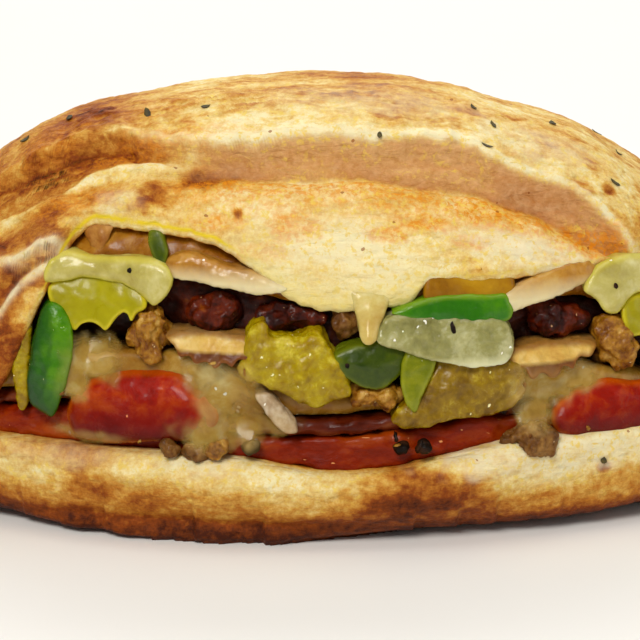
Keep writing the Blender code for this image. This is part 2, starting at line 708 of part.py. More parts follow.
def middle_pieces():
    return [
        make_crumb("sausage_dark", MEAT_COLOUR, (-0.0036, 0.0425), (0.0064, 0.0050, 0.0036), 14, proud=0.0),
        make_crumb(
            "sausage_dark_small", SAUSAGE_COLOUR, (0.0055, 0.0415), (0.0029, 0.0040, 0.0034), 15,
            proud=0.0,
        ),
        make_strip(
            "banana_chunk_left", BANANA_PEPPER_COLOUR, (-0.0138, 0.0388), (0.0066, 0.0272), 0.0098,
            0.0070, proud=0.0022, taper=(0.85, 1), roundness=2.6, ripple=(3, 0.0005),
        ),
        make_strip(
            "pepper_wedge", GREEN_PEPPER_COLOUR, (0.0030, 0.0356), (0.0182, 0.0366), 0.0088, 0.0055,
            proud=0.0014, bow=-0.0014, roundness=2,
        ),
        make_strip(
            "pepper_strip_light", GREEN_PEPPER_COLOUR, (0.0208, 0.0368), (0.0184, 0.0258), 0.0042,
            0.0040, proud=0.0026, taper=(1, 0.6),
        ),
        make_strip(
            "onion_crescent", ONION_COLOUR, (0.0112, 0.0396), (0.0366, 0.0366), 0.0080, 0.0055,
            proud=0.0030, bow=-0.0010, taper=(0.35, 1), roundness=3,
        ),
        make_strip(
            "pepper_strip_top", GREEN_PEPPER_COLOUR, (0.0140, 0.0436), (0.0356, 0.0424), 0.0042, 0.0060,
            proud=0.0020, bow=0.0010, taper=(0.6, 1), roundness=4,
        ),
        make_strip(
            "cheddar_slice", CHEDDAR_COLOUR, (0.0200, 0.0474), (0.0366, 0.0478), 0.0046, 0.0050,
            proud=0.0012, taper=(0.7, 1), roundness=4,
        ),
        make_crumb(
            "sausage_pale", SAUSAGE_COLOUR, (0.0113, 0.0282), (0.0054, 0.0040, 0.0027), 17,
            proud=0.0018,
        ),
        make_strip(
            "banana_chunk_right", BANANA_PEPPER_COLOUR, (0.0140, 0.0224), (0.0388, 0.0304), 0.0112,
            0.0080, proud=0.0018, taper=(0.75, 1.05), roundness=2.4,
        ),
        make_strip(
            "cheese_drip", CHEESE_COLOUR, (0.0096, 0.0480), (0.0102, 0.0400), 0.0050, 0.0050,
            proud=0.0030, taper=(1.3, 0.8), roundness=2.4,
        ),
        make_strip(
            "onion_slice_low", ONION_COLOUR, (-0.0108, 0.0295), (-0.0048, 0.0214), 0.0036, 0.0040,
            proud=0.0016, bow=-0.0008, taper=(0.6, 1),
        ),
        make_crumb(
            "burnt_bit_left", BURNT_COLOUR, (-0.0115, 0.0196), (0.0016, 0.0018, 0.0016), 21,
            proud=0.0030,
        ),
        make_crumb(
            "burnt_bit_middle", BURNT_COLOUR, (0.0161, 0.0188), (0.0016, 0.0018, 0.0011), 22,
            proud=0.0030,
        ),
        make_crumb(
            "burnt_bit_right", BURNT_COLOUR, (0.0200, 0.0192), (0.0017, 0.0018, 0.0013), 23,
            proud=0.0030,
        ),
    ]


def right_pieces():
    return [
        fuse(
            make_strip(
                "cheese_ribbon_right", CHEESE_COLOUR, (0.0495, 0.0468), (0.0730, 0.0405), 0.0056,
                0.0060, proud=0.0026, bow=0.0020, taper=(1, 0.6),
            ),
            make_strip(
                "droop", CHEESE_COLOUR, (0.0562, 0.0470), (0.0553, 0.0404), 0.0064, 0.0056,
                proud=0.0027, taper=(1.1, 0.9), roundness=2.2,
            ),
        ),
        make_strip(
            "banana_ring_right", BANANA_PEPPER_COLOUR, (0.0580, 0.0380), (0.0715, 0.0345), 0.0076,
            0.0045, proud=0.0015, roundness=2.8, ripple=(3, -0.0009),
        ),
        make_strip(
            "pepper_strip_right", GREEN_PEPPER_COLOUR, (0.0698, 0.0345), (0.0702, 0.0185), 0.0066,
            0.0040, proud=0.0022, taper=(0.9, 1), roundness=2.2,
        ),
        make_strip(
            "cheese_ledge_right", CHEESE_COLOUR, (0.0345, 0.0438), (0.0512, 0.0482), 0.0044, 0.0065,
            proud=0.0018, bow=0.0004, taper=(0.8, 1), roundness=4,
        ),
        make_crumb(
            "sausage_right", SAUSAGE_COLOUR, (0.0563, 0.0342), (0.0044, 0.0050, 0.0060), 31,
            proud=0.0024,
        ),
        make_strip(
            "mushroom_right", MUSHROOM_COLOUR, (0.0362, 0.0346), (0.0522, 0.0342), 0.0036, 0.0070,
            proud=0.0018, bow=-0.0010, roundness=3,
        ),
        make_strip(
            "tomato_right", TOMATO_COLOUR, (0.0442, 0.0222), (0.0712, 0.0212), 0.0100, 0.0075,
            proud=0.0020, bow=0.0014, roundness=2.2,
        ),
        make_crumb(
            "sausage_low_right", SAUSAGE_COLOUR, (0.0400, 0.0186), (0.0052, 0.0040, 0.0042), 33,
            proud=0.0050,
        ),
        make_crumb("meat_right", MEAT_COLOUR, (0.0440, 0.0396), (0.0060, 0.0050, 0.0036), 34, proud=0.0),
    ]


def make_layers(room):
    table = ((-1, CRUST_FLOOR / 2), (1, CRUST_FLOOR / 2))
    above = ((-1, HEIGHT * 1.2), (1, HEIGHT * 1.2))
    layers = [
        make_layer("pepperoni_layer", PEPPERONI_COLOUR, table, PEPPERONI_TOP, 0.0014),
        make_layer("ham_layer", HAM_COLOUR, PEPPERONI_TOP, HAM_TOP, 0.0020),
        make_layer("cheese_layer", CHEESE_COLOUR, HAM_TOP, CHEESE_TOP, 0.0024),
        make_layer("meat_layer", MEAT_COLOUR, CHEESE_TOP, MEAT_TOP, 0.0060),
        make_layer("upper_cheese_layer", CHEESE_COLOUR, MEAT_TOP, above, 0.0016, UPPER_CHEESE_TOP),
    ]
    for layer in layers:
        combine(layer, room, "INTERSECT", "MANIFOLD")
        keep_largest(layer)
    return layers


def carve(pieces, carriers):
    """Let each piece give way to the dough, the layers and the pieces before it."""
    cutters = []
    for carrier in carriers:
        cutter = grown(carrier, GAP * 1.5)
        cutters.append((cutter, box_of(cutter)))
    for piece in pieces:
        for cutter, cutter_box in cutters:
            if boxes_meet(cutter_box, box_of(piece)):
                cut(piece, cutter)
        cutter = grown(piece, GAP * 1.2)
        cutters.append((cutter, box_of(cutter)))
    for cutter, _ in cutters:
        bpy.data.objects.remove(cutter, do_unlink=True)


def main():
    clear_scene()
    crust = make_crust()
    room = make_room()
    layers = make_layers(room)
    carve(left_pieces() + middle_pieces() + right_pieces(), [crust] + layers)
    bpy.data.objects.remove(room, do_unlink=True)


if __name__ == "__main__":
    main()
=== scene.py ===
# %% [markdown]
# # A stromboli, from its frame to its picture
# A stromboli is pizza dough rolled round its filling and baked. This loaf lies open along its front, so
# layers of pepperoni, ham, cheese and meat show, with strips of pepper, onion, mushroom and tomato in front
# of them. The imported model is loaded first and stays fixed. Each piece is then dressed in place, in the
# same metres.

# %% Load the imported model
import math
import random

import bmesh
import bpy
from mathutils import Matrix, Vector, noise
from mathutils.bvhtree import BVHTree
from mathutils.kdtree import KDTree


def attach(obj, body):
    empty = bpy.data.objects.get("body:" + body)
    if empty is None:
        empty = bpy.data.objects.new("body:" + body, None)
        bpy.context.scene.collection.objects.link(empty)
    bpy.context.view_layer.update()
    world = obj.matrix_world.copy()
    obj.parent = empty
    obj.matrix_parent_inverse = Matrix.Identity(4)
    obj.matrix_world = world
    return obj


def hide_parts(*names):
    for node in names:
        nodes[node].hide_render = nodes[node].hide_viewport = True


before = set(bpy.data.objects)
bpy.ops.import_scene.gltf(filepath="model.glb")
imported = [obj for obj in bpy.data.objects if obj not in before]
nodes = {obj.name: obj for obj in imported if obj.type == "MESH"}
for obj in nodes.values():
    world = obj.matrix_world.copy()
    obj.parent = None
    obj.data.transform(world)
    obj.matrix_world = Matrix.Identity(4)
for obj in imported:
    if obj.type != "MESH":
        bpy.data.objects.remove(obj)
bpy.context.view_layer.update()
print("loaded", len(nodes), "solids")

# %% [markdown]
# ## Camera, table and light
# The loaf was seen from a little above, through a long lens, so its ends hardly shrink. The camera
# therefore stands half a metre off and looks down at 18 degrees. A pale table and broad lamps keep the
# shadows soft. The main lamp stands high in front, so that the bulging top shines and the filling lies in
# the shade of the lip.

# %% Camera
CAMERA_TARGET = Vector((0.001, -0.035, 0.0405))
CAMERA_DISTANCE = 0.50
CAMERA_RISE = math.radians(18)
FOCAL_PIXELS = 2698.5
PICTURE_WIDTH = 640

camera = bpy.data.objects.new("camera", bpy.data.cameras.new("camera"))
camera.data.lens = camera.data.sensor_width * FOCAL_PIXELS / PICTURE_WIDTH
camera.data.clip_start = 0.01
camera.location = CAMERA_TARGET + CAMERA_DISTANCE * Vector((0, -math.cos(CAMERA_RISE), math.sin(CAMERA_RISE)))
camera.rotation_euler = (math.pi / 2 - CAMERA_RISE, 0, 0)
bpy.context.scene.collection.objects.link(camera)
bpy.context.scene.camera = camera
print("camera with a lens of", round(camera.data.lens), "mm")


# %% Table
def add_object(name, bm, smooth=True):
    """An object at the origin from a bmesh, with faces pointing out."""
    mesh = bpy.data.meshes.new(name)
    bm.to_mesh(mesh)
    bm.free()
    if smooth:
        mesh.shade_smooth()
    obj = bpy.data.objects.new(name, mesh)
    bpy.context.scene.collection.objects.link(obj)
    return obj


table_mesh = bmesh.new()
bmesh.ops.create_grid(table_mesh, x_segments=1, y_segments=1, size=3.0)
table = add_object("table", table_mesh, smooth=False)
print("table", round(table.dimensions.x), "m wide")


# %% Lamps and sky
def add_lamp(name, place, aim, width, power, colour):
    """A square lamp that faces a point."""
    lamp = bpy.data.objects.new(name, bpy.data.lights.new(name, "AREA"))
    lamp.data.size = width
    lamp.data.energy = power
    lamp.data.color = colour
    lamp.location = place
    lamp.rotation_euler = (Vector(aim) - Vector(place)).to_track_quat("-Z", "Y").to_euler()
    bpy.context.scene.collection.objects.link(lamp)
    return lamp


LOAF_MIDDLE = (0, -0.01, 0.035)
BEHIND_LOAF = (0, 2.2, 0)
add_lamp("lamp_key", (-0.22, -0.64, 0.74), LOAF_MIDDLE, 0.34, 6.0, (1.0, 0.97, 0.92))
add_lamp("lamp_top", (0.15, 0.05, 0.85), LOAF_MIDDLE, 0.50, 1.8, (1.0, 0.98, 0.95))
add_lamp("lamp_side", (0.80, -0.30, 0.35), LOAF_MIDDLE, 0.40, 0.8, (1.0, 0.97, 0.93))
add_lamp("lamp_far", (0, 2.2, 1.4), BEHIND_LOAF, 2.4, 60.0, (1.0, 0.99, 0.97))

sky = bpy.data.worlds.new("sky")
sky.use_nodes = True
sky.node_tree.nodes["Background"].inputs["Color"].default_value = (1.0, 0.99, 0.97, 1)
sky.node_tree.nodes["Background"].inputs["Strength"].default_value = 0.24
bpy.context.scene.world = sky
bpy.context.scene.view_settings.view_transform = "Standard"
print("4 lamps and a pale sky")

# %% [markdown]
# ## The loaf's outline in formulas
# Dough that bakes on a tray takes one smooth bulging form, so it is described by curves along its length:
# how deep, how high, and where the opening starts and ends. The solids of the frame were made from the same
# curves. Repeating them here on a much finer grid keeps the crust on its frame and leaves room for wrinkles
# and folds.

# %% Smooth steps and bumps
def smooth_step(low, high, value):
    t = min(1.0, max(0.0, (value - low) / (high - low)))
    return t * t * (3 - 2 * t)


def between(span, x):
    """1 inside a span of four places along x, 0 outside it, and smooth at both sides."""
    return smooth_step(span[0], span[1], x) * (1 - smooth_step(span[2], span[3], x))


def bump(centre, half_width, value):
    """1 at the centre, with a broad top, falling to 0.5 at the half width."""
    return 1 / (1 + ((value - centre) / half_width) ** 4)


def swell(t, power):
    """A superellipse's height over t, from 1 at 0 to 0 at -1 and 1."""
    return max(0.0, 1 - abs(t) ** power) ** (1 / power)


def smooth_curve(points, x):
    """The value at x of a smooth line through (x, value) points, level beyond both ends."""
    if x <= points[0][0]:
        return points[0][1]
    if x >= points[-1][0]:
        return points[-1][1]
    last = len(points) - 1
    i = max(k for k in range(last) if points[k][0] <= x)

    def slope(k):
        if k in (0, last):
            return 0.0
        return (points[k + 1][1] - points[k - 1][1]) / (points[k + 1][0] - points[k - 1][0])

    (x0, value0), (x1, value1) = points[i], points[i + 1]
    step = x1 - x0
    t = (x - x0) / step
    rise = t * t * (3 - 2 * t)
    return value0 + (value1 - value0) * rise + t * (1 - t) * ((1 - t) * slope(i) - t * slope(i + 1)) * step


print("half way up a smooth step:", smooth_step(0, 1, 0.5))

# %% Outline of the loaf
LENGTH, DEPTH, HEIGHT, NOSE_HEIGHT = 0.194, 0.100, 0.0775, 0.010
FRONT_POWER, BACK_POWER, RIDGE_POWER = 1.8, 2.3, 2.0
UNDERSIDE_POWER, DOME_POWER, BASE_POWER = 5.0, 2.3, 5.5


def front_y(x):
    return -DEPTH / 2 * swell(2 * x / LENGTH, FRONT_POWER)


def back_y(x):
    return DEPTH / 2 * swell(2 * x / LENGTH, BACK_POWER)


def top_z(x):
    return NOSE_HEIGHT + (HEIGHT - NOSE_HEIGHT) * swell(2 * x / LENGTH, RIDGE_POWER)


def under_z(x):
    return NOSE_HEIGHT * (1 - swell(2 * x / LENGTH, UNDERSIDE_POWER))


def dome_z(x, y):
    edge_y = front_y(x) if y < 0 else back_y(x)
    return NOSE_HEIGHT + (top_z(x) - NOSE_HEIGHT) * swell(y / edge_y, DOME_POWER)


print("the loaf is", round(top_z(0) * 1000, 1), "mm high before its folds")


# %% Outline of one section
def outside(x, angle):
    """The outline (y, z) of section x before its folds. Angle 0 is the back, a quarter turn the top."""
    across, up = math.cos(angle), math.sin(angle)
    half_width = max(back_y(x) if across > 0 else -front_y(x), 1e-6)
    half_height = max(top_z(x) - NOSE_HEIGHT if up > 0 else NOSE_HEIGHT - under_z(x), 1e-6)
    power = DOME_POWER if up > 0 else BASE_POWER
    radius = (abs(across / half_width) ** power + abs(up / half_height) ** power) ** (-1 / power)
    return radius * across, NOSE_HEIGHT + radius * up


def front_surface_y(x, z):
    """Where the outline of section x is at height z, on the front."""
    rise = (z - NOSE_HEIGHT) / max(top_z(x) - NOSE_HEIGHT, 1e-6)
    return min(front_y(x) * swell(min(max(rise, -0.98), 0.98), DOME_POWER), -1e-6)


print("the middle section is", round((back_y(0) - front_y(0)) * 1000), "mm deep")

# %% Edges of the opening
MOUTH_SPAN = (-0.066, -0.040, 0.064, 0.080)
HOLLOW_SPAN = (-0.069, -0.060, 0.074, 0.083)


def rim_z(x):
    """Top of the bottom crust at the front."""
    rim = 0.0185 - 0.0030 * bump(0.006, 0.014, x) + 0.0020 * smooth_step(0.024, 0.040, x)
    return min(rim, 0.30 * (top_z(x) - NOSE_HEIGHT) + NOSE_HEIGHT)


def lip_z(x):
    """Lower edge of the top crust at the front. It hangs down in the middle."""
    lip = 0.0585 - 0.0080 * smooth_step(0.010, 0.034, x) - 0.0095 * bump(0.004, 0.017, x)
    shut = rim_z(x) + 0.0025
    return shut + (lip - shut) * between(MOUTH_SPAN, x)


print("the opening is", round((lip_z(-0.02) - rim_z(-0.02)) * 1000, 1), "mm high on the left")

# %% [markdown]
# ## Sections of the crust
# Cut across, the dough is a thick letter C: round the outside from the lower rim to the lip, then back
# along the hollow. A closed B-spline through a ring of control points gives that C rounded edges of its own
# accord. The points follow the outline at even distances, so the spline stays close to it.

# %% Control points of the outside
OUTER_CONTROLS = 27
FINE_STEPS = 240


def outer_controls(x):
    """Points of section x from the rim, round below and behind, to the lip, at even distances."""
    start = math.atan2(rim_z(x) - NOSE_HEIGHT, front_surface_y(x, rim_z(x)))
    end = math.atan2(lip_z(x) - NOSE_HEIGHT, front_surface_y(x, lip_z(x))) + 2 * math.pi
    fine = [outside(x, start + (end - start) * i / FINE_STEPS) for i in range(FINE_STEPS + 1)]
    lengths = [0.0]
    for (y0, z0), (y1, z1) in zip(fine, fine[1:]):
        lengths.append(lengths[-1] + math.hypot(y1 - y0, z1 - z0))
    points = []
    at = 0
    for i in range(OUTER_CONTROLS):
        while at < FINE_STEPS and lengths[at] < lengths[-1] * i / (OUTER_CONTROLS - 1):
            at += 1
        points.append(fine[at])
    return points


print("from the rim to the lip:", len(outer_controls(0.0)), "points")

# %% Control points of the hollow
CRUST_TOP, CRUST_BACK, CRUST_FLOOR = 0.009, 0.012, 0.0125
LIP_THICK, BROW = 0.0065, 0.006


def inner_controls(x, lip_point, rim_point):
    """Points of the hollow's wall in section x, from the lip back over the filling to the rim."""
    (lip_y, lip), (rim_y, rim) = lip_point, rim_point
    back, top = back_y(x), top_z(x)
    thick = LIP_THICK * (1 + 0.5 * bump(0.006, 0.020, x))
    brow_y = lip_y + thick + BROW
    return [
        (lip_y + 0.3 * thick, lip - 0.3 * LIP_THICK),
        (lip_y + thick, lip - 0.1 * LIP_THICK),
        (brow_y, min(lip + BROW, dome_z(x, brow_y) - 0.8 * CRUST_TOP)),
        (lip_y * 0.30, dome_z(x, lip_y * 0.30) - CRUST_TOP),
        (back * 0.20, dome_z(x, back * 0.20) - CRUST_TOP),
        (back * 0.58, dome_z(x, back * 0.58) - 1.2 * CRUST_TOP),
        (back - CRUST_BACK, top * 0.50),
        (back - CRUST_BACK, top * 0.26),
        (back - 1.7 * CRUST_BACK, CRUST_FLOOR),
        (back * 0.10, CRUST_FLOOR),
        (rim_y + 1.6 * CRUST_FLOOR, 1.1 * CRUST_FLOOR),
        (rim_y + 0.6 * CRUST_FLOOR, rim - 0.1 * CRUST_FLOOR),
    ]


def section_controls(x):
    """Control points (y, z) of the dough's section. Past the hollow the inner ones close up the mouth."""
    points = outer_controls(x)
    lip_point, rim_point = points[-1], points[0]
    share = between(HOLLOW_SPAN, x)
    start = math.atan2(lip_point[1] - NOSE_HEIGHT, lip_point[0])
    end = math.atan2(rim_point[1] - NOSE_HEIGHT, rim_point[0])
    inner = inner_controls(x, lip_point, rim_point)
    for i, (y, z) in enumerate(inner):
        shut_y, shut_z = outside(x, start + (end - start) * (i + 1) / (len(inner) + 1))
        points.append((shut_y + (y - shut_y) * share, shut_z + (z - shut_z) * share))
    return points


print("a section has", len(section_controls(0.0)), "control points")


# %% Spline through a section
def spline_point(controls, at):
    """A point of the closed cubic B-spline over the controls, where at counts control points."""
    whole, u = divmod(at, 1.0)
    weights = (
        (1 - u) ** 3 / 6,
        (3 * u**3 - 6 * u**2 + 4) / 6,
        (-3 * u**3 + 3 * u**2 + 3 * u + 1) / 6,
        u**3 / 6,
    )
    near = [controls[(int(whole) + k - 1) % len(controls)] for k in range(4)]
    return sum(w * p[0] for w, p in zip(weights, near)), sum(w * p[1] for w, p in zip(weights, near))


LIP_AT = OUTER_CONTROLS - 1
SECTION_END = len(section_controls(0.0))
print("the lip lies at", LIP_AT, "and the section closes at", SECTION_END)

# %% [markdown]
# ## Folds of the dough
# Rolling leaves a long flap over the top. Under its edge lies the tucked roll, and below that a crease or a
# rounded ridge. At the left end the roll's edges show as two pale lines above the lip. Each fold is a line
# along the loaf, given as angles above the front, and a profile across that line. The dough between them
# wrinkles.

# %% Fold lines: places along the loaf and angles above the front
FLAP_LINE = (
    (-0.058, 74), (-0.050, 74.5), (-0.040, 74.5), (-0.031, 70), (-0.021, 67.5), (-0.0135, 67), (-0.006, 67.5),
    (0.012, 67.5), (0.021, 68.5), (0.029, 68.5), (0.032, 67), (0.038, 65.5), (0.046, 64.5), (0.0515, 62.5),
    (0.056, 59.5), (0.062, 56),
)
CREASE_LINE = (
    (-0.020, 64), (-0.0025, 63), (0.0065, 64), (0.0155, 63), (0.0305, 63), (0.034, 62), (0.040, 61.5),
    (0.0455, 60), (0.051, 58), (0.058, 56),
)
RIDGE_LINE = (
    (-0.059, 64), (-0.0475, 65), (-0.0435, 67), (-0.040, 68), (-0.0305, 67.5), (-0.021, 66.5),
    (-0.0135, 65.5),
)
LEFT_FOLD_LINE = ((-0.058, 50), (-0.0525, 52), (-0.047, 53), (-0.0395, 52))
END_LINES = (
    ((-0.0600, 53), (-0.0545, 52.5), (-0.0508, 54), (-0.0440, 53.5)),
    ((-0.0600, 42), (-0.0560, 47), (-0.0525, 49.5), (-0.0490, 51), (-0.0440, 51)),
)
FLAP_SPAN = (-0.076, -0.050, 0.054, 0.074)
CREASE_SPAN = (-0.032, -0.018, 0.054, 0.074)
RIDGE_SPAN = (-0.074, -0.058, -0.020, -0.010)
LEFT_FOLD_SPAN = (-0.084, -0.070, -0.040, -0.026)
END_SPAN = (-0.066, -0.060, -0.046, -0.040)
print("the flap's edge runs through", len(FLAP_LINE), "places")


# %% Waves and ripples
def wave(x, size, seed):
    """A soft uneven line between about -1 and 1, whose waves are some size long."""
    return noise.noise(Vector((x / size, seed, 0))) + 0.5 * noise.noise(Vector((2.3 * x / size, seed + 7, 0)))


def ripples(point, sizes):
    """Unevenness at a point, from (height, waves per metre) pairs."""
    return sum(height * noise.noise(point * waves) for height, waves in sizes)


print("a wave at 1 cm:", round(wave(0.01, 0.007, 1), 2))


# %% Profiles across the folds
def fold_marks(x, angle):
    """Shares from 0 to 1 that say where a place lies on the folds."""
    above = angle - smooth_curve(FLAP_LINE, x) - 0.8 * wave(x, 0.007, 1) - 0.4 * wave(x, 0.0048, 21)
    away = angle - smooth_curve(CREASE_LINE, x) - 0.6 * wave(x, 0.009, 2)
    over = angle - smooth_curve(RIDGE_LINE, x) - 0.5 * wave(x, 0.006, 3)
    fold = angle - smooth_curve(LEFT_FOLD_LINE, x) - 0.5 * wave(x, 0.006, 4)
    flap, crease, ridge = between(FLAP_SPAN, x), between(CREASE_SPAN, x), between(RIDGE_SPAN, x)
    start = max(crease * smooth_step(-0.3, 0.9, away), ridge * smooth_step(-0.3, 0.9, over))
    crinkle = 1 + 0.22 * wave(x, 0.0050, 23) * (1 - smooth_step(2, 9, above))
    ends = [bump(0, 0.9, angle - smooth_curve(line, x) - 0.3 * wave(x, 0.004, 5)) for line in END_LINES]
    return {
        "flap": flap * crinkle * smooth_step(-1.2, 0.6, above) * (1 - smooth_step(8, 40, above)),
        "bead": flap * bump(1.2, 0.8, above),
        "tuck": flap * bump(-1.8, 0.8, above),
        "wall": flap * smooth_step(-1.8, -1.0, above) * (1 - smooth_step(0.2, 0.8, above)),
        "roll": flap * start * smooth_step(-0.6, 0.1, -above),
        "top": smooth_step(0.6, 4, above),
        "crease": crease * bump(0, 1.0, away),
        "hollow": crease * bump(0, 3.2, away),
        "stain": crease * smooth_step(-12, -1.5, away) * (1 - smooth_step(-1.2, 0, away)),
        "ridge": ridge * bump(-1.0, 1.1, over),
        "fold": smooth_step(-0.6, 0.6, fold) * (1 - smooth_step(3, 14, fold)) * between(LEFT_FOLD_SPAN, x),
        "end": between(END_SPAN, x) * max(ends),
    }


FOLD_HEIGHTS = {
    "flap": 0.0030, "bead": 0.0004, "tuck": -0.0008, "crease": -0.0017, "hollow": -0.0014, "ridge": 0.0008,
    "fold": 0.0026, "end": 0.0008,
}


def fold_height(marks):
    """How far the folds lift the dough."""
    return sum(height * marks[name] for name, height in FOLD_HEIGHTS.items())


step_up = fold_height(fold_marks(0, 75)) - fold_height(fold_marks(0, 67))
print("the flap's edge steps up", round(step_up * 1000, 1), "mm")

# %% Unevenness and wrinkles
DOUGH_RIPPLES = ((0.0010, 38), (0.0005, 90), (0.00028, 260), (0.00018, 640))
WRINKLE_HEIGHT = 0.0005
WRINKLED = (
    (-0.0425, 77, 0.006, 10), (-0.052, 71, 0.010, 6), (-0.019, 63, 0.008, 4), (-0.030, 61, 0.004, 4),
    (0.044, 63, 0.012, 4), (-0.010, 78, 0.030, 4),
)


def patch(x, angle, place):
    """1 in the middle of an oval patch (x, angle, half sizes) with a frayed edge."""
    fray = 0.45 * noise.noise(Vector((x * 210, angle * 0.22, 5)))
    fray += 0.25 * noise.noise(Vector((x * 520, angle * 0.6, 9)))
    far = math.hypot((x - place[0]) / place[2], (angle - place[1]) / place[3]) + fray
    return 1 - smooth_step(0.35, 1.35, far)


def wrinkles(x, angle):
    """(height, strength) of the wrinkles along the roll. Their height runs from -1 in a crease to 1."""
    along = Vector((x * 150, angle * 0.62, 3))
    crest = 1 - abs(noise.noise(along) + 0.5 * noise.noise(along * 2.1)) * 2.4
    return crest, 0.15 + max(patch(x, angle, place) for place in WRINKLED)


def uneven(x, y, z, angle, wrinkled=1.0):
    """How far unevenness and wrinkles lift the dough's outside."""
    crest, strength = wrinkles(x, angle)
    return ripples(Vector((x, y, z)), DOUGH_RIPPLES) + WRINKLE_HEIGHT * strength * crest * wrinkled


print("unevenness at the top:", round(uneven(0, 0, 0.077, 90) * 1e6), "micrometres")

# %% Thin edge of the base
BASE_EDGE_REACH = 0.0050


def base_edge(x, y, z):
    """How far the thin, flaky edge of the base stands out on the table."""
    ragged = 1 + 0.16 * wave(x, 0.011, 8) + 0.05 * wave(x, 0.0024, 9)
    reach = BASE_EDGE_REACH * bump(-0.022, 0.032, x) * smooth_step(0.025, 0.040, -y)
    return reach * ragged * (1 - smooth_step(0.0012, 0.0048, z))


print("the base's edge reaches out", round(base_edge(-0.022, -0.049, 0.001) * 1000, 1), "mm")

# %% [markdown]
# ## One fine mesh for the crust
# A flat grid is the simplest start: its columns become sections along the loaf and its rows run round each
# section. Rows crowd where the picture looks closest, at the rim, the lip and the folds above, and spread
# out under the loaf. The grid's two long edges meet and are merged, and each short edge closes to a point.

# %% Spacing of the grid
ROWS = (
    (0, 2.2, 40), (2.2, 11, 9), (11, 19.5, 48), (19.5, 25.2, 116), (25.2, 27.4, 36), (27.4, 37.6, 9),
    (37.6, SECTION_END, 18),
)
COLUMNS = (
    (-1.0, -0.996, 4), (-0.996, -0.96, 8), (-0.96, -0.64, 34), (-0.64, 0.66, 262), (0.66, 0.96, 32),
    (0.96, 0.996, 8), (0.996, 1.0, 4),
)


def spread(runs):
    """Places at even distances inside each run of (start, end, count)."""
    places = [start + (end - start) * i / count for start, end, count in runs for i in range(count)]
    return places + [runs[-1][1]]


row_places = spread(ROWS)
column_places = [LENGTH / 2 * share for share in spread(COLUMNS)]
print("grid of", len(column_places), "by", len(row_places))


# %% Place of one point of the crust
DROOP, DROOP_SPAN = 0.0040, (-0.014, 0.004, 0.0165, 0.0215)
RESTS_BELOW = 0.0006


def crust_point(controls, x, at):
    """(place, angle above the front) of the crust at section x, a number of controls round it."""
    y, z = spline_point(controls, at)
    angle = math.degrees(math.atan2(z - NOSE_HEIGHT, -y))
    outer = smooth_step(0.0, 0.5, at) * (1 - smooth_step(LIP_AT - 0.5, LIP_AT + 0.3, at))
    upper = smooth_step(0.004, 0.012, z)
    ends = 1 - smooth_step(0.080, 0.094, abs(x))
    marks = fold_marks(x, angle)
    raised = fold_height(marks) + uneven(x, y, z, angle, 1 - marks["wall"])
    lift = raised * upper * ends * outer + base_edge(x, y, z) * outer
    away = Vector((y, z - NOSE_HEIGHT)).normalized() * lift
    hang = bump(LIP_AT + 0.3, 0.9, at) * between(MOUTH_SPAN, x)
    drop = DROOP * between(DROOP_SPAN, x) + 0.0006 * wave(x, 0.005, 11) + 0.0003 * wave(x, 0.0018, 12)
    height = z + away.y - hang * drop
    return Vector((x, y + away.x, height if height > RESTS_BELOW else 0.0)), angle


print("lip at the middle:", [round(v * 1000, 1) for v in crust_point(section_controls(0.0), 0.0, LIP_AT)[0]])

# %% Build the crust
bm = bmesh.new()
bmesh.ops.create_grid(bm, x_segments=len(column_places) - 1, y_segments=len(row_places) - 1, size=1.0)
controls_of = [section_controls(x) for x in column_places[1:-1]]
angle_layer = bm.verts.layers.float.new("angle")
round_layer = bm.verts.layers.float.new("round")
for vert in bm.verts:
    column = round((vert.co.x + 1) / 2 * (len(column_places) - 1))
    row = round((vert.co.y + 1) / 2 * (len(row_places) - 1))
    at = row_places[row]
    if column in (0, len(column_places) - 1):
        vert.co = (column_places[column], 0, NOSE_HEIGHT)
        vert[angle_layer], vert[round_layer] = 0.0, at
        continue
    round_at = 0.0 if row == len(row_places) - 1 else at
    vert.co, vert[angle_layer] = crust_point(controls_of[column - 1], column_places[column], round_at)
    vert[round_layer] = at
bmesh.ops.remove_doubles(bm, verts=bm.verts, dist=1e-7)
bmesh.ops.recalc_face_normals(bm, faces=bm.faces)
open_edges = sum(len(edge.link_faces) != 2 for edge in bm.edges)
print("crust:", sum(len(face.verts) - 2 for face in bm.faces), "triangles,", open_edges, "open edges")
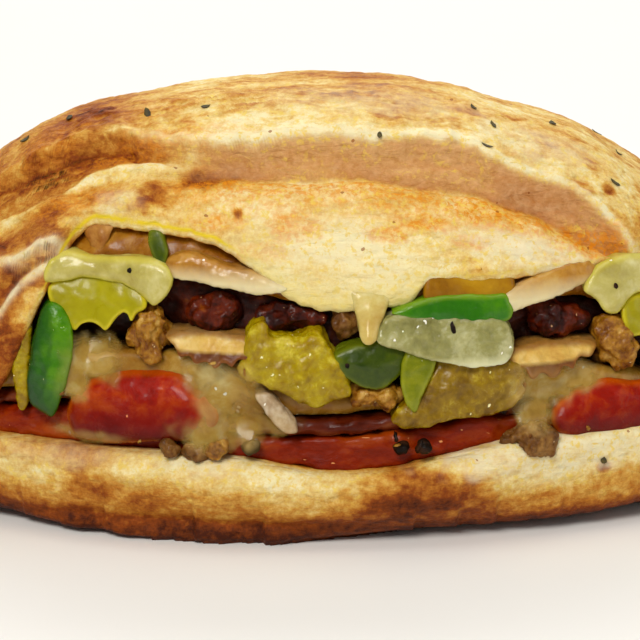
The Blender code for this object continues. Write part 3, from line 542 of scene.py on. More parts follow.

# %% [markdown]
# ## Where the dough is baked, floured and stained, and where shade and highlight are painted
# An oven browns what stands up and what touches the tray, and leaves folds pale. Flour clings to the lower
# front, oil from the filling colours the dough orange, and cheese bakes to a yellow edge on the lip. Painted
# shade darkens the tuck under the flap's edge, the crease and the flap's wall, a painted highlight lightens
# the flap's edge, and at the tray the brown is partly baking and partly painted shade. These are stored as
# attributes on the crust: numbers per point that its material reads.

# %% Patches of the crust: (x, angle, half length, half angle, amount)
BAKED = (
    (-0.0430, 72, 0.014, 8, -0.16), (-0.054, 72, 0.010, 7, 0.05), (-0.0295, 70, 0.017, 2.6, 0.14),
    (-0.031, 62, 0.011, 4, 0.20), (-0.0518, 56, 0.008, 5, 0.22), (-0.049, 9, 0.015, 5, 0.24),
    (0.0, 6, 0.020, 3, 0.07),
    (-0.0435, 62, 0.009, 3, 0.16), (-0.030, 60.5, 0.003, 3, 0.18), (-0.019, 63, 0.0075, 2.6, 0.28),
    (-0.0365, 60, 0.004, 2, -0.12), (-0.014, 55.5, 0.0010, 1.0, 0.65), (0.0425, 64, 0.012, 3.4, 0.22),
    (0.0550, 67.5, 0.0014, 1.4, 0.5), (0.0600, 62, 0.007, 4, 0.16), (-0.0405, 1.5, 0.006, 5, 0.20),
    (-0.032, -1, 0.006, 4, 0.20), (0.020, 1, 0.013, 8, 0.42), (0.0540, 4, 0.0014, 1.6, 0.5),
    (-0.058, 35, 0.004, 18, 0.34), (-0.054, 49, 0.005, 2.5, 0.26), (0.028, 77, 0.004, 1.2, 0.25),
    (-0.012, 82, 0.030, 2, 0.14), (0.000, 88, 0.040, 3, 0.10),
)
STAINED = (
    (-0.0040, 53, 0.0042, 2.4, 1.7), (0.0535, 57.5, 0.008, 3.0, 1.0), (-0.0295, 70, 0.017, 2.4, 0.5),
    (0.014, 52.5, 0.0042, 1.4, 1.4), (0.021, 54.5, 0.0060, 1.4, 1.3), (0.029, 52, 0.0035, 1.2, 1.2),
    (-0.010, 49, 0.006, 1.6, 0.8), (0.036, 57, 0.010, 2.2, 0.9), (-0.018, 54, 0.005, 1.6, 0.7),
    (-0.0435, 62, 0.009, 3, 0.5), (0.042, 59, 0.014, 2.0, 0.75), (-0.050, 78, 0.008, 6, 0.25),
    (0.030, 43, 0.010, 2, 0.6),
)
FLOURED = (
    (0.0455, 9, 0.022, 6, 0.9), (-0.047, 9, 0.016, 4, 0.3), (-0.020, 9, 0.010, 4, 0.6),
    (0.030, 9, 0.006, 5, 0.6), (0.012, 77, 0.020, 5, 0.4), (0.042, 73, 0.011, 4.5, 0.5),
    (0.045, 51, 0.014, 4, 0.55), (0.0025, 49, 0.018, 7, 0.45), (-0.0365, 60, 0.005, 3, 0.4),
    (0.037, 53, 0.014, 3.5, 0.55),
)


def left_part(x):
    return 1 - smooth_step(-0.046, -0.018, x)


def amount_of(patches, x, angle):
    return sum(place[4] * patch(x, angle, place) for place in patches)


def clamp(value):
    return min(1.0, max(0.0, value))


print(len(BAKED), "baked,", len(STAINED), "stained and", len(FLOURED), "floured patches")


# %% How far the upper dough is baked, with painted shade and highlight at the folds
BAKED_CLOUDS = ((0.16, 60), (0.10, 170))


def upper_baking(x, point, angle):
    """Cream in the middle, tan towards the left, the ends and the back.

    Painted shade darkens the tuck, the crease and the flap's wall, and a painted highlight lightens the
    flap's edge.
    """
    marks = fold_marks(x, angle)
    crest, strength = wrinkles(x, angle)
    left = left_part(x)
    baking = 0.11 + 0.24 * left * (1 - smooth_step(80, 110, angle)) + 0.14 * smooth_step(0.058, 0.085, abs(x))
    baking += 0.17 * smooth_step(64, 76, angle) + 0.14 * smooth_step(88, 118, angle)
    baking += ripples(point, BAKED_CLOUDS)
    # Painted shade: darker in the tuck under the flap's edge and in the crease. The roll is darker too, as
    # its own tone on the band and as painted shade on the flap's wall.
    baking += 0.20 * marks["roll"] + 0.12 * marks["tuck"] + 0.10 * marks["crease"]
    # Painted highlight: the bead along the flap's edge is made paler.
    baking -= 0.26 * marks["bead"] * (1 - left) + 0.12 * marks["ridge"] + 0.30 * marks["end"]
    return baking + 0.20 * (strength - 0.1) * crest * (1 - marks["wall"])


print("baked at the top:", round(upper_baking(0, Vector((0, 0, HEIGHT)), 90), 2))


# %% How far the lower dough is baked, with painted shade at the foot
def lower_baking(x, z, angle):
    """Cream at the front rim, golden lower down and brown at the tray. The back and the ends are browner.

    The darkest brown at the tray is partly baking and partly painted shade.
    """
    level = z + 0.0016 * wave(x, 0.014, 31) + 0.0010 * noise.noise(Vector((x * 160, z * 300, 8)))
    golden = 1 - smooth_step(0.0075, 0.0140, level)
    turned_away = max(smooth_step(115, 145, angle), smooth_step(0.064, 0.088, abs(x)))
    # The last term darkens the foot: browning from the tray and painted shade where the crust meets the
    # table.
    return 0.15 + 0.17 * turned_away + 0.34 * golden + 0.46 * (1 - smooth_step(0.0018, 0.0080, level))


print("baked at the tray:", round(lower_baking(0, 0.001, 0), 2))
print("baked at the rim:", round(lower_baking(0, 0.018, 0), 2))

# %% Paint the crust's attributes
WITHIN_SPAN = (-0.066, -0.056, 0.070, 0.080)
BACK_WALL_AT = (38.0, 38.6)
YELLOW_SPAN, PALE_YELLOW_SPAN = (-0.054, -0.047, -0.019, -0.012), (-0.030, -0.016, 0.058, 0.066)
MELTING_SPAN = (-0.018, -0.008, 0.018, 0.023)
HOLLOW_BAKED, HOLLOW_STAINED = 0.62, 0.8
names = ("baked", "stained", "floured", "cheesy", "rolled", "streaky", "melting")
layers = {name: bm.verts.layers.float.new(name) for name in names}
for vert in bm.verts:
    x, y, z = vert.co
    angle, at = vert[angle_layer], vert[round_layer]
    marks = fold_marks(x, angle)
    low = 1 - smooth_step(0.014, 0.021, z)
    within = smooth_step(LIP_AT + 0.4, LIP_AT + 1.0, at) * (1 - smooth_step(*BACK_WALL_AT, at))
    outer = 1 - within * between(WITHIN_SPAN, x)
    baked = upper_baking(x, vert.co, angle) * (1 - low) + lower_baking(x, z, angle) * low
    baked += amount_of(BAKED, x, angle)
    stained = amount_of(STAINED, x, angle) + 0.9 * marks["stain"]
    # The bead term lays a painted highlight on the flap's edge through the flour.
    floured = amount_of(FLOURED, x, angle) + 0.5 * marks["bead"] * (1 - left_part(x)) + marks["end"]
    edge = bump(LIP_AT + 0.10, 0.08, at)
    yellow = between(YELLOW_SPAN, x) + 0.22 * between(PALE_YELLOW_SPAN, x)
    # baked holds real browning plus the painted shade and highlight of the folds and the painted shade at the
    # foot.
    vert[layers["baked"]] = clamp(baked * outer + HOLLOW_BAKED * (1 - outer))
    vert[layers["stained"]] = clamp(stained * outer + HOLLOW_STAINED * (1 - outer))
    vert[layers["floured"]] = clamp(floured * outer)
    vert[layers["cheesy"]] = edge * clamp(yellow)
    # rolled: the roll band's own pink-tan tone, which on the flap's wall stands for painted shade.
    vert[layers["rolled"]] = marks["roll"] * smooth_step(-0.034, -0.010, x)
    vert[layers["streaky"]] = max(marks["top"], 0.8 * left_part(x)) * (1 - low)
    vert[layers["melting"]] = bump(LIP_AT + 0.4, 0.75, at) * between(MELTING_SPAN, x)
crust = add_object("dough_crust", bm)
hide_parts("crust")
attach(crust, "root")
print("painted", len(crust.data.vertices), "points")

# %% [markdown]
# ## Node groups that several finishes share
# Food is never one flat colour. Three small effects return on almost every piece: soft mottling, a crumbly
# surface, and tiny specks, which serve as freckles on the dough and as painted glints on wet food. Each is
# built once as a node group with named sockets, and each finish places it with its own values.

# %% Add, link and compute
def add_node(tree, kind, inputs=None, **settings):
    """A node with settings, whose inputs are values or other nodes' outputs."""
    node = tree.nodes.new(kind)
    for name, value in settings.items():
        setattr(node, name, value)
    for name, value in (inputs or {}).items():
        if isinstance(value, bpy.types.NodeSocket):
            tree.links.new(value, node.inputs[name])
        else:
            node.inputs[name].default_value = value
    return node


def compute(tree, operation, first, second=0.0, clamp=False):
    """The result of a sum, product or the like of two values or sockets."""
    inputs = {0: first, 1: second}
    return add_node(tree, "ShaderNodeMath", inputs, operation=operation, use_clamp=clamp).outputs[0]


def remap(tree, value, low, high, to_low=0.0, to_high=1.0):
    """A value moved from one range to another, and held within it."""
    inputs = {"Value": value, "From Min": low, "From Max": high, "To Min": to_low, "To Max": to_high}
    return add_node(tree, "ShaderNodeMapRange", inputs).outputs[0]


def read_attribute(tree, name):
    """A number that is stored per point of the mesh."""
    return add_node(tree, "ShaderNodeAttribute", attribute_name=name).outputs["Fac"]


def use_group(tree, group, inputs):
    """The output of a node group, placed in a tree with its own values."""
    return add_node(tree, "ShaderNodeGroup", inputs, node_tree=group).outputs[0]


print("node helpers are ready")


# %% Colours
def mix_colours(tree, share, first, second, way="MIX"):
    """A colour between two others. Colours are sockets or linear values."""
    inputs = {0: share, 6: first, 7: second}
    return add_node(tree, "ShaderNodeMix", inputs, data_type="RGBA", blend_type=way).outputs[2]


def paint(red, green, blue):
    """A linear colour from the 0 to 255 values that a paint program shows."""
    parts = [v / 255 for v in (red, green, blue)]
    return (*[v / 12.92 if v <= 0.04045 else ((v + 0.055) / 1.055) ** 2.4 for v in parts], 1)


def lay_over(tree, colour, mask, strength, tint, way="MIX"):
    """A colour with a tint over it where the mask is bright, up to a strength."""
    return mix_colours(tree, compute(tree, "MULTIPLY", mask, strength), colour, paint(*tint), way)


print("cream in linear values:", [round(v, 2) for v in paint(242, 222, 151)])


# %% Soft mottling
def new_group(name, values, output):
    """An empty node group with a Vector input, named value inputs and one value output."""
    tree = bpy.data.node_groups.new(name, "ShaderNodeTree")
    tree.interface.new_socket("Vector", in_out="INPUT", socket_type="NodeSocketVector")
    for label, default in values.items():
        socket = tree.interface.new_socket(label, in_out="INPUT", socket_type="NodeSocketFloat")
        socket.default_value = default
    tree.interface.new_socket(output, in_out="OUTPUT", socket_type="NodeSocketFloat")
    return tree, tree.nodes.new("NodeGroupInput").outputs, tree.nodes.new("NodeGroupOutput").inputs


mottling, given, result = new_group("Mottling", {"Scale": 100, "Share": 0.5, "Softness": 0.1}, "Mask")
cloud = add_node(
    mottling, "ShaderNodeTexNoise",
    {"Vector": given["Vector"], "Scale": given["Scale"], "Detail": 6, "Roughness": 0.6, "Distortion": 0.4},
)
level = compute(mottling, "SUBTRACT", 1.0, given["Share"])
from_level = compute(mottling, "SUBTRACT", level, given["Softness"])
to_level = compute(mottling, "ADD", level, given["Softness"])
mottling.links.new(remap(mottling, cloud.outputs[0], from_level, to_level), result["Mask"])


def clouds(tree, place, scale, share, softness):
    """A soft cloudy mask that covers a share of the surface."""
    inputs = {"Vector": place, "Scale": scale, "Share": share, "Softness": softness}
    return use_group(tree, mottling, inputs)


print(mottling.name, "takes", [item.name for item in mottling.interface.items_tree])

# %% A crumbly surface
crumble, given, result = new_group("Crumble", {"Scale": 400, "Pits": 0.5}, "Height")
grain = add_node(
    crumble, "ShaderNodeTexNoise",
    {"Vector": given["Vector"], "Scale": given["Scale"], "Detail": 8, "Roughness": 0.65, "Distortion": 0.6},
)
inputs = {"Vector": given["Vector"], "Scale": given["Scale"]}
cells = add_node(crumble, "ShaderNodeTexVoronoi", inputs, feature="SMOOTH_F1")
deep = remap(crumble, cells.outputs["Distance"], 0.0, 0.35, -1.0, 0.0)
pits = compute(crumble, "MULTIPLY", deep, given["Pits"])
crumble.links.new(compute(crumble, "ADD", grain.outputs[0], pits), result["Height"])
print(crumble.name, "takes", [item.name for item in crumble.interface.items_tree])

# %% Tiny specks
# The dots serve as freckles on the dough and as painted glints on wet food.
specks, given, result = new_group("Specks", {"Scale": 600, "Size": 0.25, "Share": 0.3}, "Mask")
inputs = {"Vector": given["Vector"], "Scale": given["Scale"], "Detail": 3}
shake = add_node(specks, "ShaderNodeTexNoise", inputs)
inputs = {0: shake.outputs["Color"], 1: (0.0016, 0.0016, 0.0016), 2: given["Vector"]}
shaken = add_node(specks, "ShaderNodeVectorMath", inputs, operation="MULTIPLY_ADD")
dots = add_node(specks, "ShaderNodeTexVoronoi", {"Vector": shaken.outputs[0], "Scale": given["Scale"]})
small = compute(specks, "LESS_THAN", dots.outputs["Distance"], given["Size"])
pick = add_node(specks, "ShaderNodeSeparateColor", {"Color": dots.outputs["Color"]})
chosen = compute(specks, "LESS_THAN", pick.outputs[0], given["Share"])
specks.links.new(compute(specks, "MULTIPLY", small, chosen), result["Mask"])


def dotted(tree, place, scale, size, share):
    """A mask of small dots. The share says how many of the places have one."""
    return use_group(tree, specks, {"Vector": place, "Scale": scale, "Size": size, "Share": share})


print(specks.name, "takes", [item.name for item in specks.interface.items_tree])

# %% [markdown]
# ## The dough's finish
# Baked dough runs from floury cream over gold to dark brown. One colour ramp holds that range, and the
# baked attribute plus mottling picks a place on it; that attribute also holds painted shade and highlight at
# the folds and painted shade at the foot. Orange oil, flour and the cheesy lip are laid over it, as thin
# layers would be, and the flour layer also carries a painted highlight on the flap's edge. Fine bumps come
# from stretched noise, because dough wrinkles along the roll.

# %% Start of a finish
def new_finish(name):
    """(material, node tree, Principled shader, Object coordinates) of a new material."""
    material = bpy.data.materials.new(name)
    material.use_nodes = True
    tree = material.node_tree
    place = tree.nodes.new("ShaderNodeTexCoord").outputs["Object"]
    return material, tree, tree.nodes["Principled BSDF"], place


def colour_ramp(tree, value, stops):
    """A colour that a value picks from (value, tone) stops."""
    ramp = add_node(tree, "ShaderNodeValToRGB", {"Fac": value})
    elements = ramp.color_ramp.elements
    while len(elements) < len(stops):
        elements.new(0.5)
    for element, (level, tone) in zip(elements, stops):
        element.position = level
        element.color = paint(*tone)
    return ramp.outputs[0]


dough, tree, shader, place = new_finish("baked dough")
print("an empty finish has", len(tree.nodes), "nodes")

# %% Tones of baked dough
BAKING_TONES = (
    (0.00, (246, 232, 182)), (0.18, (235, 206, 130)), (0.36, (216, 164, 74)), (0.54, (190, 120, 36)),
    (0.74, (142, 66, 8)), (1.00, (72, 25, 2)),
)
stretched = add_node(tree, "ShaderNodeMapping", {"Vector": place, "Scale": (0.45, 1, 1)}).outputs[0]
inputs = {"Vector": stretched, "Scale": 110, "Detail": 7, "Roughness": 0.62}
broad = add_node(tree, "ShaderNodeTexNoise", inputs)
inputs = {"Vector": place, "Scale": 620, "Detail": 6, "Roughness": 0.75}
fine = add_node(tree, "ShaderNodeTexNoise", inputs)
coarse_part = remap(tree, broad.outputs[0], 0.3, 0.7, -0.19, 0.19)
fine_part = remap(tree, fine.outputs[0], 0.3, 0.7, -0.17, 0.17)
mottled = compute(tree, "ADD", coarse_part, fine_part)
drawn = add_node(tree, "ShaderNodeMapping", {"Vector": place, "Scale": (0.28, 1, 1)}).outputs[0]
streaks = clouds(tree, drawn, 330, 0.42, 0.07)
streaks = compute(tree, "MULTIPLY", streaks, read_attribute(tree, "streaky"))
mottled = compute(tree, "ADD", mottled, compute(tree, "MULTIPLY", streaks, 0.20))
# The baked attribute carries browning plus painted shade and highlight at the folds and painted shade at the
# foot.
baking = compute(tree, "ADD", read_attribute(tree, "baked"), mottled, clamp=True)
colour = colour_ramp(tree, baking, BAKING_TONES)
pink = remap(tree, clouds(tree, place, 240, 0.75, 0.2), 0, 1, 0.35, 0.85)
# The blush on the roll is its own tone on the band and painted shade on the flap's wall.
pink = compute(tree, "MULTIPLY", read_attribute(tree, "rolled"), pink)
blush = mix_colours(tree, clouds(tree, place, 620, 0.5, 0.2), paint(188, 126, 66), paint(224, 174, 120))
colour = mix_colours(tree, pink, colour, blush)
print(len(BAKING_TONES), "tones and a pink blush on the roll")


# %% Oil, flour, freckles and cheese over the dough
def marked(tree, attribute, mask):
    """A mask that shows only where an attribute of the mesh is bright."""
    return compute(tree, "MULTIPLY", read_attribute(tree, attribute), mask)


oil = marked(tree, "stained", clouds(tree, place, 320, 0.60, 0.14))
grains = marked(tree, "stained", clouds(tree, place, 1000, 0.48, 0.06))
# The floured attribute also carries a painted highlight along the flap's edge.
powder = marked(tree, "floured", clouds(tree, place, 300, 0.62, 0.16))
pale_dough = remap(tree, baking, 0.15, 0.50, 1.0, 0.0)
blisters = compute(tree, "MULTIPLY", clouds(tree, place, 820, 0.42, 0.05), pale_dough)
freckles = dotted(tree, place, 520, 0.18, 0.04)
baked_cheese = marked(tree, "cheesy", clouds(tree, place, 200, 0.70, 0.12))
melting = read_attribute(tree, "melting")
colour = lay_over(tree, colour, oil, 0.75, (248, 200, 84), "MULTIPLY")
colour = lay_over(tree, colour, grains, 0.9, (228, 142, 10))
colour = lay_over(tree, colour, powder, 0.85, (240, 228, 190))
colour = lay_over(tree, colour, blisters, 0.75, (238, 204, 84))
colour = lay_over(tree, colour, freckles, 0.75, (150, 78, 12))
colour = lay_over(tree, colour, baked_cheese, 1.0, (236, 206, 40))
colour = lay_over(tree, colour, melting, 0.75, (232, 212, 130))
tree.links.new(colour, shader.inputs["Base Color"])
print("7 thin layers over the dough")

# %% Gloss and relief of the dough
rough = remap(tree, powder, 0.0, 1.0, 0.56, 0.86)
rough = compute(tree, "SUBTRACT", rough, compute(tree, "MULTIPLY", melting, 0.35))
tree.links.new(rough, shader.inputs["Roughness"])
shader.inputs["Specular IOR Level"].default_value = 0.16
shader.inputs["Subsurface Weight"].default_value = 0.10
shader.inputs["Subsurface Radius"].default_value = (0.0026, 0.0015, 0.0007)
shader.inputs["Subsurface Scale"].default_value = 1.0
grain = use_group(tree, crumble, {"Vector": stretched, "Scale": 520, "Pits": 0.35})
height = compute(tree, "ADD", grain, compute(tree, "MULTIPLY", broad.outputs[0], 1.4))
relief = add_node(tree, "ShaderNodeBump", {"Height": height, "Strength": 0.9, "Distance": 0.0009})
tree.links.new(relief.outputs[0], shader.inputs["Normal"])
crust.data.materials.append(dough)
print("dough finish with", len(tree.nodes), "nodes")

# %% [markdown]
# ## Herb flakes
# Dried herbs are strewn over the dough. A flake is a thin curled scrap of leaf: a tiny grid, bent, trimmed
# to an oval and given thickness. Each lies on the crust where a ray from outside meets it.

# %% Places of the flakes: (x, angle)
FLAKES = [
    (-0.0555, 83), (-0.0470, 84), (-0.0315, 77), (-0.0205, 76), (0.0120, 68), (0.0320, 69), (0.0335, 75),
    (0.0300, 79), (0.0455, 83), (0.0590, 89), (0.0565, 70), (0.0620, 66), (0.0540, 6),
]
BACK_FLAKES = 8
rng = random.Random(11)
for i in range(BACK_FLAKES):
    along = -0.062 + 0.124 * (i + 0.5) / BACK_FLAKES + rng.uniform(-0.004, 0.004)
    FLAKES.append((along, rng.uniform(98, 150)))
print(len(FLAKES), "flakes, of which", BACK_FLAKES, "lie on the back")

# %% Lay the flakes
FLAKE_LENGTHS, FLAKE_WIDTHS, FLAKE_CURLS = (0.0007, 0.0012), (0.0004, 0.0007), (0.0001, 0.0003)
FLAKE_THICK, FLAKE_LIFT = 0.00012, 0.00018


def lay_flake(bm, tree, x, angle, rng):
    """Add one curled flake to the bmesh, on the crust's surface."""
    out = Vector((0, -math.cos(math.radians(angle)), math.sin(math.radians(angle))))
    spot, normal, _, _ = tree.ray_cast(Vector((x, 0, NOSE_HEIGHT)) + out * DEPTH, -out)
    made = bmesh.ops.create_grid(bm, x_segments=6, y_segments=4, size=1.0)["verts"]
    half = Vector((rng.uniform(*FLAKE_LENGTHS), rng.uniform(*FLAKE_WIDTHS), 1))
    curl = rng.uniform(*FLAKE_CURLS)
    for vert in made:
        narrow = swell(vert.co.x, 1.7) * (1 + 0.3 * noise.noise(vert.co * 2 + Vector((x * 999, 0, 0))))
        lift = FLAKE_LIFT + curl * vert.co.x**2 + 0.0001 * noise.noise(vert.co * 3 + Vector((0, x * 999, 0)))
        vert.co = (vert.co.x * half.x, vert.co.y * half.y * narrow, lift)
    turn = Matrix.Rotation(rng.uniform(0, math.pi), 4, "Z")
    upright = normal.to_track_quat("Z", "X").to_matrix().to_4x4()
    bmesh.ops.transform(bm, matrix=Matrix.Translation(spot) @ upright @ turn, verts=made)


corners = [v.co for v in crust.data.vertices]
surface = BVHTree.FromPolygons(corners, [p.vertices for p in crust.data.polygons])
bm = bmesh.new()
rng = random.Random(5)
for x, angle in FLAKES:
    lay_flake(bm, surface, x, angle, rng)
bmesh.ops.remove_doubles(bm, verts=bm.verts, dist=1e-6)
bmesh.ops.solidify(bm, geom=bm.faces[:], thickness=FLAKE_THICK)
bmesh.ops.recalc_face_normals(bm, faces=bm.faces)
flakes = add_object("herb_flakes", bm)
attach(flakes, "root")
herb, tree, shader, place = new_finish("dried herb")
leaf = clouds(tree, place, 900, 0.5, 0.2)
tree.links.new(mix_colours(tree, leaf, paint(30, 26, 8), paint(96, 82, 30)), shader.inputs["Base Color"])
tree.links.new(remap(tree, leaf, 0, 1, 0.6, 0.85), shader.inputs["Roughness"])
flakes.data.materials.append(herb)
print("the flakes have", len(flakes.data.polygons), "faces")

# %% [markdown]
# ## The filling's face
# The filling leans back from the rim to the lip. A formula for that face lets each piece be drawn flat, by
# places along the loaf and heights, and then be laid on it. Melted cheese covers some patches of the face
# like milk, and what lies deep behind the face gets painted shade.

# %% Face of the filling and its milky patches: (x, z, half sizes, amount)
FACE_BACK = (0.0045, 0.0025)
MILKY = (
    (-0.0415, 0.0335, 0.0052, 0.0036, 1.0), (-0.0445, 0.0300, 0.0032, 0.0040, 0.9),
    (-0.0195, 0.0322, 0.0052, 0.0026, 1.0), (-0.0160, 0.0285, 0.0050, 0.0062, 1.0),
    (-0.0190, 0.0220, 0.0060, 0.0030, 0.8), (-0.0415, 0.0195, 0.0060, 0.0014, 0.6),
    (-0.0125, 0.0235, 0.0040, 0.0036, 0.8), (0.0425, 0.0290, 0.0056, 0.0042, 1.0),
    (0.0490, 0.0295, 0.0040, 0.0026, 0.8), (0.0410, 0.0240, 0.0034, 0.0030, 0.8),
    (-0.0070, 0.0235, 0.0040, 0.0022, 0.5),
)


def face_y(x, z):
    rim, lip = rim_z(x), lip_z(x)
    share = min(max((z - rim) / (lip - rim), 0.0), 1.0)
    low_y, high_y = front_y(x) + FACE_BACK[0], front_surface_y(x, lip) + FACE_BACK[1]
    return low_y + (high_y - low_y) * share**1.5


def milkiness(x, z):
    """From 0 to 1, how much melted cheese covers a place. The patches' edges are frayed."""
    fray = 0.45 * noise.noise(Vector((x * 230, z * 230, 6)))
    fray += 0.25 * noise.noise(Vector((x * 620, z * 620, 2)))
    cover = 0.0
    for place in MILKY:
        far = math.hypot((x - place[0]) / place[2], (z - place[1]) / place[3]) + fray
        cover = max(cover, place[4] * (1 - smooth_step(0.35, 1.50, far)))
    return cover


print("half way up, the middle of the face is at y =", round(face_y(0, 0.033) * 1000, 1), "mm")

# %% [markdown]
# ## Finer meshes for food
# Blender's voxel remesh rebuilds any closed shape from small cubes, which gives even faces all over.
# Smoothing takes the cubes' steps away, and noise along the normals then gives each food its own surface:
# craggy sausage, rippled pepper, soft cheese.

# %% Rebuild and roughen a mesh
def smooth(bm, axes):
    """One round of smoothing along the chosen axes."""
    bmesh.ops.smooth_vert(
        bm, verts=bm.verts, factor=0.5, use_axis_x=axes[0], use_axis_y=axes[1], use_axis_z=axes[2],
    )


def remeshed(bm, voxel):
    """A bmesh of the same shape with small even faces."""
    rough = add_object("rough", bm)
    modifier = rough.modifiers.new("finer", "REMESH")
    modifier.mode = "VOXEL"
    modifier.voxel_size = voxel
    bpy.context.view_layer.update()
    fine = bpy.data.meshes.new_from_object(rough.evaluated_get(bpy.context.evaluated_depsgraph_get()))
    bpy.data.objects.remove(rough)
    bm = bmesh.new()
    bm.from_mesh(fine)
    bpy.data.meshes.remove(fine)
    for _ in range(3):
        smooth(bm, (True, True, True))
    return bm


def roughen(bm, crags):
    """Move the surface in and out by ripples, given as (height, waves per metre) pairs."""
    bm.normal_update()
    moves = [v.normal * ripples(v.co, crags) for v in bm.verts]
    for vert, move in zip(bm.verts, moves):
        vert.co += move
    bm.normal_update()


print("remesh and roughen are ready")


# %% Attributes of a piece of filling
def mark_piece(bm, edge_of=None):
    """Paint what the finishes read: edge, rise, leftness, hollow and veiled, each from 0 to 1.

    Hollow is painted shade, which grows with depth behind the filling's face.
    """
    names = ("edge", "rise", "leftness", "hollow", "veiled")
    marks = {name: bm.verts.layers.float.new(name) for name in names}
    low, high = min(v.co.z for v in bm.verts), max(v.co.z for v in bm.verts)
    for vert in bm.verts:
        x, y, z = vert.co
        vert[marks["edge"]] = edge_of[vert.index] if edge_of else smooth_step(0.25, 0.95, 1 + vert.normal.y)
        vert[marks["rise"]] = (z - low) / (high - low)
        vert[marks["leftness"]] = smooth_step(0.0, 0.8, -vert.normal.x)
        # hollow: painted shade, stronger the deeper a point lies behind the filling's face
        vert[marks["hollow"]] = smooth_step(0.0022, 0.0065, y - face_y(x, z))
        vert[marks["veiled"]] = milkiness(x, z)


print("a piece carries 5 attributes for its finish")

# %% Serve a piece for its node
fine_pieces = []


def serve(piece, node, finish):
    """Dress a piece in its finish and let it stand for its node."""
    piece.data.materials.append(finish)
    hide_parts(node)
    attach(piece, "root")
    fine_pieces.append(piece)


print("serving is ready")


# %% Pieces that keep their solid's form
def finer_piece(name, finish, voxel=0.00035, crags=()):
    """A finer, rougher copy of a node."""
    bm = bmesh.new()
    bm.from_mesh(nodes[name].data)
    bmesh.ops.remove_doubles(bm, verts=bm.verts, dist=1e-6)
    bm = remeshed(bm, voxel)
    roughen(bm, crags)
    mark_piece(bm)
    serve(add_object("fine_" + name, bm), name, finish)


print("layers and lumps come from", len(nodes), "solids")


# %% Rounded outline
MM = 0.001
CURVE_STEPS = 6


def rounded_ring(points):
    """A smooth closed line through (x, z) points, by the Catmull-Rom formula."""
    ring = []
    for i in range(len(points)):
        p0, p1, p2, p3 = (Vector(points[(i + k) % len(points)]) for k in (-1, 0, 1, 2))
        for step in range(CURVE_STEPS):
            t = step / CURVE_STEPS
            curve = 2 * p1 + (p2 - p0) * t + (2 * p0 - 5 * p1 + 4 * p2 - p3) * t**2
            curve += (3 * p1 - p0 - 3 * p2 + p3) * t**3
            ring.append(curve * 0.5 * MM)
    return ring


print("a ring of 8 points becomes", len(rounded_ring(((0, 0),) * 8)), "points")


# %% Cut a slab
def cut_slab(outline, thick, proud, crown, lean, soft, voxel=0.00032):
    """(bmesh, edge shares) of a slab with rounded edges, laid on the filling's face."""
    ring = rounded_ring(outline)
    bm = bmesh.new()
    face = bm.faces.new([bm.verts.new((p.x, 0, p.y)) for p in ring])
    made = bmesh.ops.extrude_face_region(bm, geom=[face])["geom"]
    bmesh.ops.translate(bm, vec=(0, thick, 0), verts=[v for v in made if isinstance(v, bmesh.types.BMVert)])
    bmesh.ops.recalc_face_normals(bm, faces=bm.faces)
    bm = remeshed(bm, voxel)
    border = KDTree(len(ring) * 4)
    for i, point in enumerate(ring):
        for k in range(4):
            border.insert((*point.lerp(ring[(i + 1) % len(ring)], k / 4), 0), 4 * i + k)
    border.balance()
    middle = sum(ring, Vector((0, 0))) / len(ring)
    edges = []
    for vert in bm.verts:
        x, y, z = vert.co
        inside = border.find((x, z, 0))[2]
        rounding = 1 - swell(1 - min(1.0, inside / soft), 2.2)
        plump = crown * smooth_step(0, 0.0045, inside)
        depth = (2 * y / thick - 1) * (thick / 2 * (1 + plump) - min(soft, 0.3 * thick) * rounding)
        tilt = lean[0] * (x - middle.x) + lean[1] * (z - middle.y)
        vert.co.y = face_y(x, z) + thick / 2 - proud + depth + tilt
        edges.append(1 - smooth_step(0.0002, 0.0011, inside))
    return bm, edges


print("a slab leans back at", [round(face_y(0, z / 1000) * 1000, 1) for z in (20, 30, 40)], "mm")

# %% Lay a slab for a node
RIPPLED = ((0.00025, 260), (0.00012, 700))


def slab(name, finish, size, outline, crown=0.15, lean=(0, 0), soft=1.0, crags=RIPPLED):
    """A flat piece for a node. Its size (thickness and how far it stands out) and outline are in mm.

    crown swells its middle, lean tilts it along x and z, and soft is the radius of its edges in mm.
    """
    bm, edges = cut_slab(outline, size[0] * MM, size[1] * MM, crown, lean, soft * MM)
    roughen(bm, crags)
    mark_piece(bm, edges)
    serve(add_object("fine_" + name, bm), name, finish)


print("slabs have", len(RIPPLED), "sizes of ripples")

# %% [markdown]
# ## Finishes for the filling
# Every filling has three or more tones, a wet surface and its own grain. One function lays these parts down
# in the same order: mottled tones, an underside, a darker flank, a cut edge, painted glints, the milky veil
# of melted cheese, painted shade in the hollows, gloss and bumps. A table of values then makes each food
# its own.

